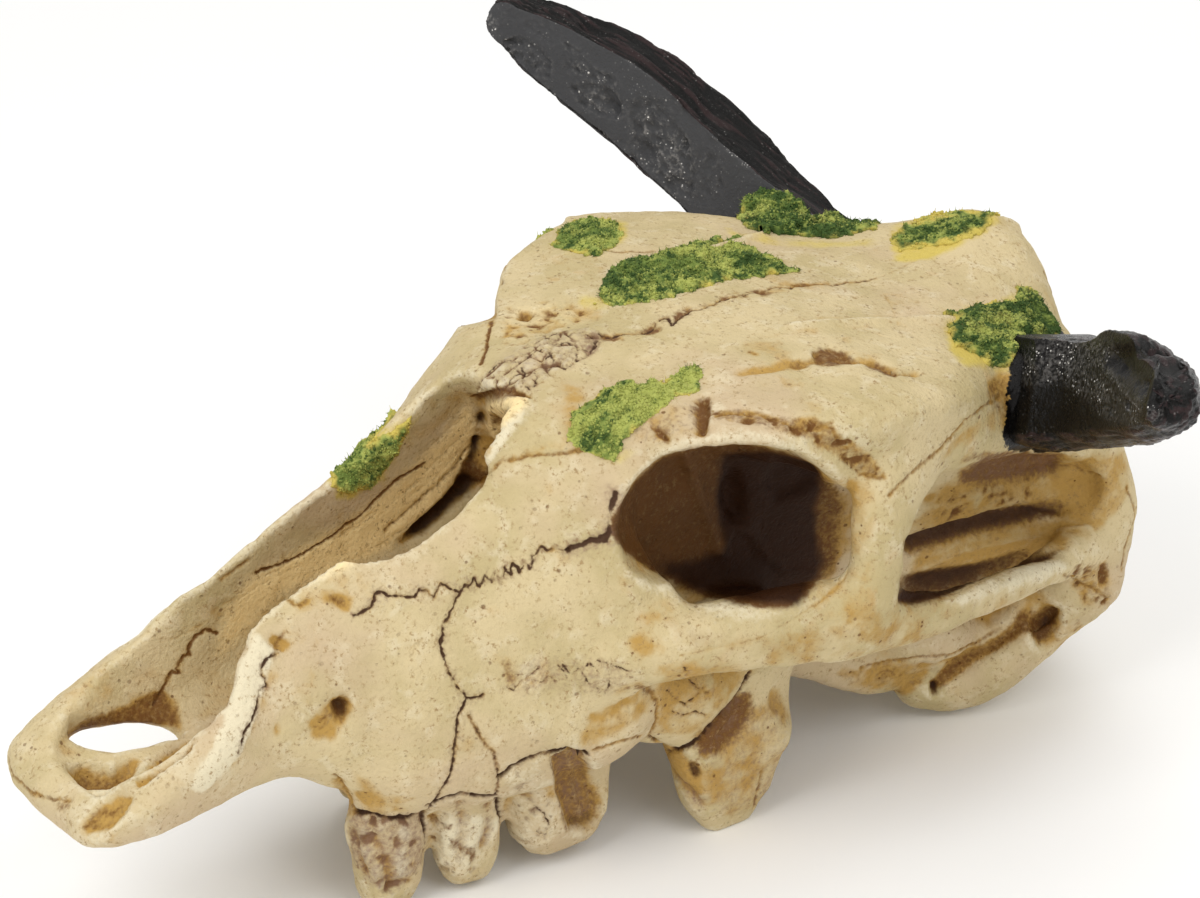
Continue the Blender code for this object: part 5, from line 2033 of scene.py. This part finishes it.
@dataclass
class Studio:
    """A plain pale floor and soft light."""

    floor_size: float = 6.0
    floor_colour: Triple = (0.95, 0.95, 0.945)
    world_colour: Triple = (1.0, 0.99, 0.97)
    world_strength: float = 0.6
    aim: Triple = (0.0, 0.0, 0.05)
    lamps: tuple[tuple[str, Triple, float, float], ...] = (
        ("key", (0.15, -0.80, 0.80), 0.6, 5.2),
        ("fill", (0.95, -0.15, 0.35), 0.8, 0.9),
        ("right", (0.75, 0.05, 0.95), 0.7, 3.2),
        ("top", (-0.25, 0.35, 1.0), 0.8, 3.2),
    )

    def build(self) -> None:
        """Make the floor, the lights and the surrounding light."""
        mesh = bmesh.new()
        bmesh.ops.create_grid(mesh, x_segments=1, y_segments=1, size=self.floor_size / 2)
        data = bpy.data.meshes.new("floor")
        mesh.to_mesh(data)
        mesh.free()
        floor = new_object("floor", data)
        paint, tree = new_material("pale_floor")
        cloud = tree.noise(tree.here(), 3.0, 2.0)
        edge = tuple(part * 0.98 for part in self.floor_colour)
        tone = tree.mix(tree.band(cloud, 0.3, 0.7), self.floor_colour, edge)
        tree.surface(tone, 0.8, 0.5, cloud, 0.1)
        data.materials.append(paint)
        for lamp in self.lamps:
            self.light(*lamp)
        world = bpy.data.worlds.new("soft_light")
        world.use_nodes = True
        shade = world.node_tree.nodes["Background"]
        shade.inputs["Color"].default_value = (*self.world_colour, 1.0)
        shade.inputs["Strength"].default_value = self.world_strength
        bpy.context.scene.world = world
        bpy.context.scene.view_settings.view_transform = "Standard"

    def light(self, name: str, place: Triple, size: float, power: float) -> None:
        """A square soft light that faces the skull."""
        data = bpy.data.lights.new(name, "AREA")
        data.size = size
        data.energy = power
        lamp = new_object(name, data)
        lamp.location = place
        lamp.rotation_mode = "QUATERNION"
        lamp.rotation_quaternion = (Vector(self.aim) - Vector(place)).to_track_quat("-Z", "Y")


def horn_gap(skull: Skull, horns: Sequence[Horn], reach: float = 9.0) -> Array:
    """How far each point of the skull lies from the nearest horn, in millimetres, up to a reach."""
    gap = np.full(len(skull.skin.points), reach)
    for horn in horns:
        tree = horn.skin.tree()
        low, high = horn.skin.points.min(0) - reach, horn.skin.points.max(0) + reach
        for index in np.flatnonzero(((skull.skin.points > low) & (skull.skin.points < high)).all(1)):
            found = tree.find_nearest(Vector(skull.skin.points[index]), reach)[3]
            if found is not None:
                gap[index] = min(gap[index], found)
    return gap


def main() -> None:
    """Build the ornament piece by piece and place it in the studio."""
    noise.seed_set(NOISE_SEED)
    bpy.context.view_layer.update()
    portrait = Portrait()
    portrait.build()
    Studio().build()
    effects = Effects()
    bone = BoneFinish().material(effects)
    black = HornFinish().material(effects)
    green = MossFinish().material(effects)

    skull = Skull()
    skull.build(portrait)
    LOG.info("skull: %d points", len(skull.skin.points))
    skull.carve()

    horns = [
        Horn(Side.LEFT, drop=3.0, worn=0.0, pulls=NEAR_HORN_PULLS, zones=NEAR_HORN_ZONES),
        Horn(Side.RIGHT, drop=0.0, worn=1.0, pulls=FAR_HORN_PULLS, zones=FAR_HORN_ZONES),
    ]
    for horn in horns:
        horn.build(portrait)
        horn.dress(black)
        LOG.info("%s: %d points", horn.name, len(horn.skin.points))

    tufts = TuftScatter()
    tufts.build()
    halo = np.zeros(len(skull.skin.points))
    patchy = np.clip(0.8 + 0.9 * skull.skin.lumps(4.0, 6.5), 0.1, 1.3)
    for patch in MOSS_PATCHES:
        pad = MossPad(patch, skull, portrait)
        pad.build(green, tufts)
        halo = np.maximum(halo, pad.halo() * patchy)
        LOG.info("%s: %d faces", pad.name, len(pad.obj.data.polygons))

    skull.weather(halo, horn_gap(skull, horns))
    skull.dress(bone)
    LOG.info("skull: %d faces", len(skull.skin.obj.data.polygons))


if __name__ == "__main__":
    main()
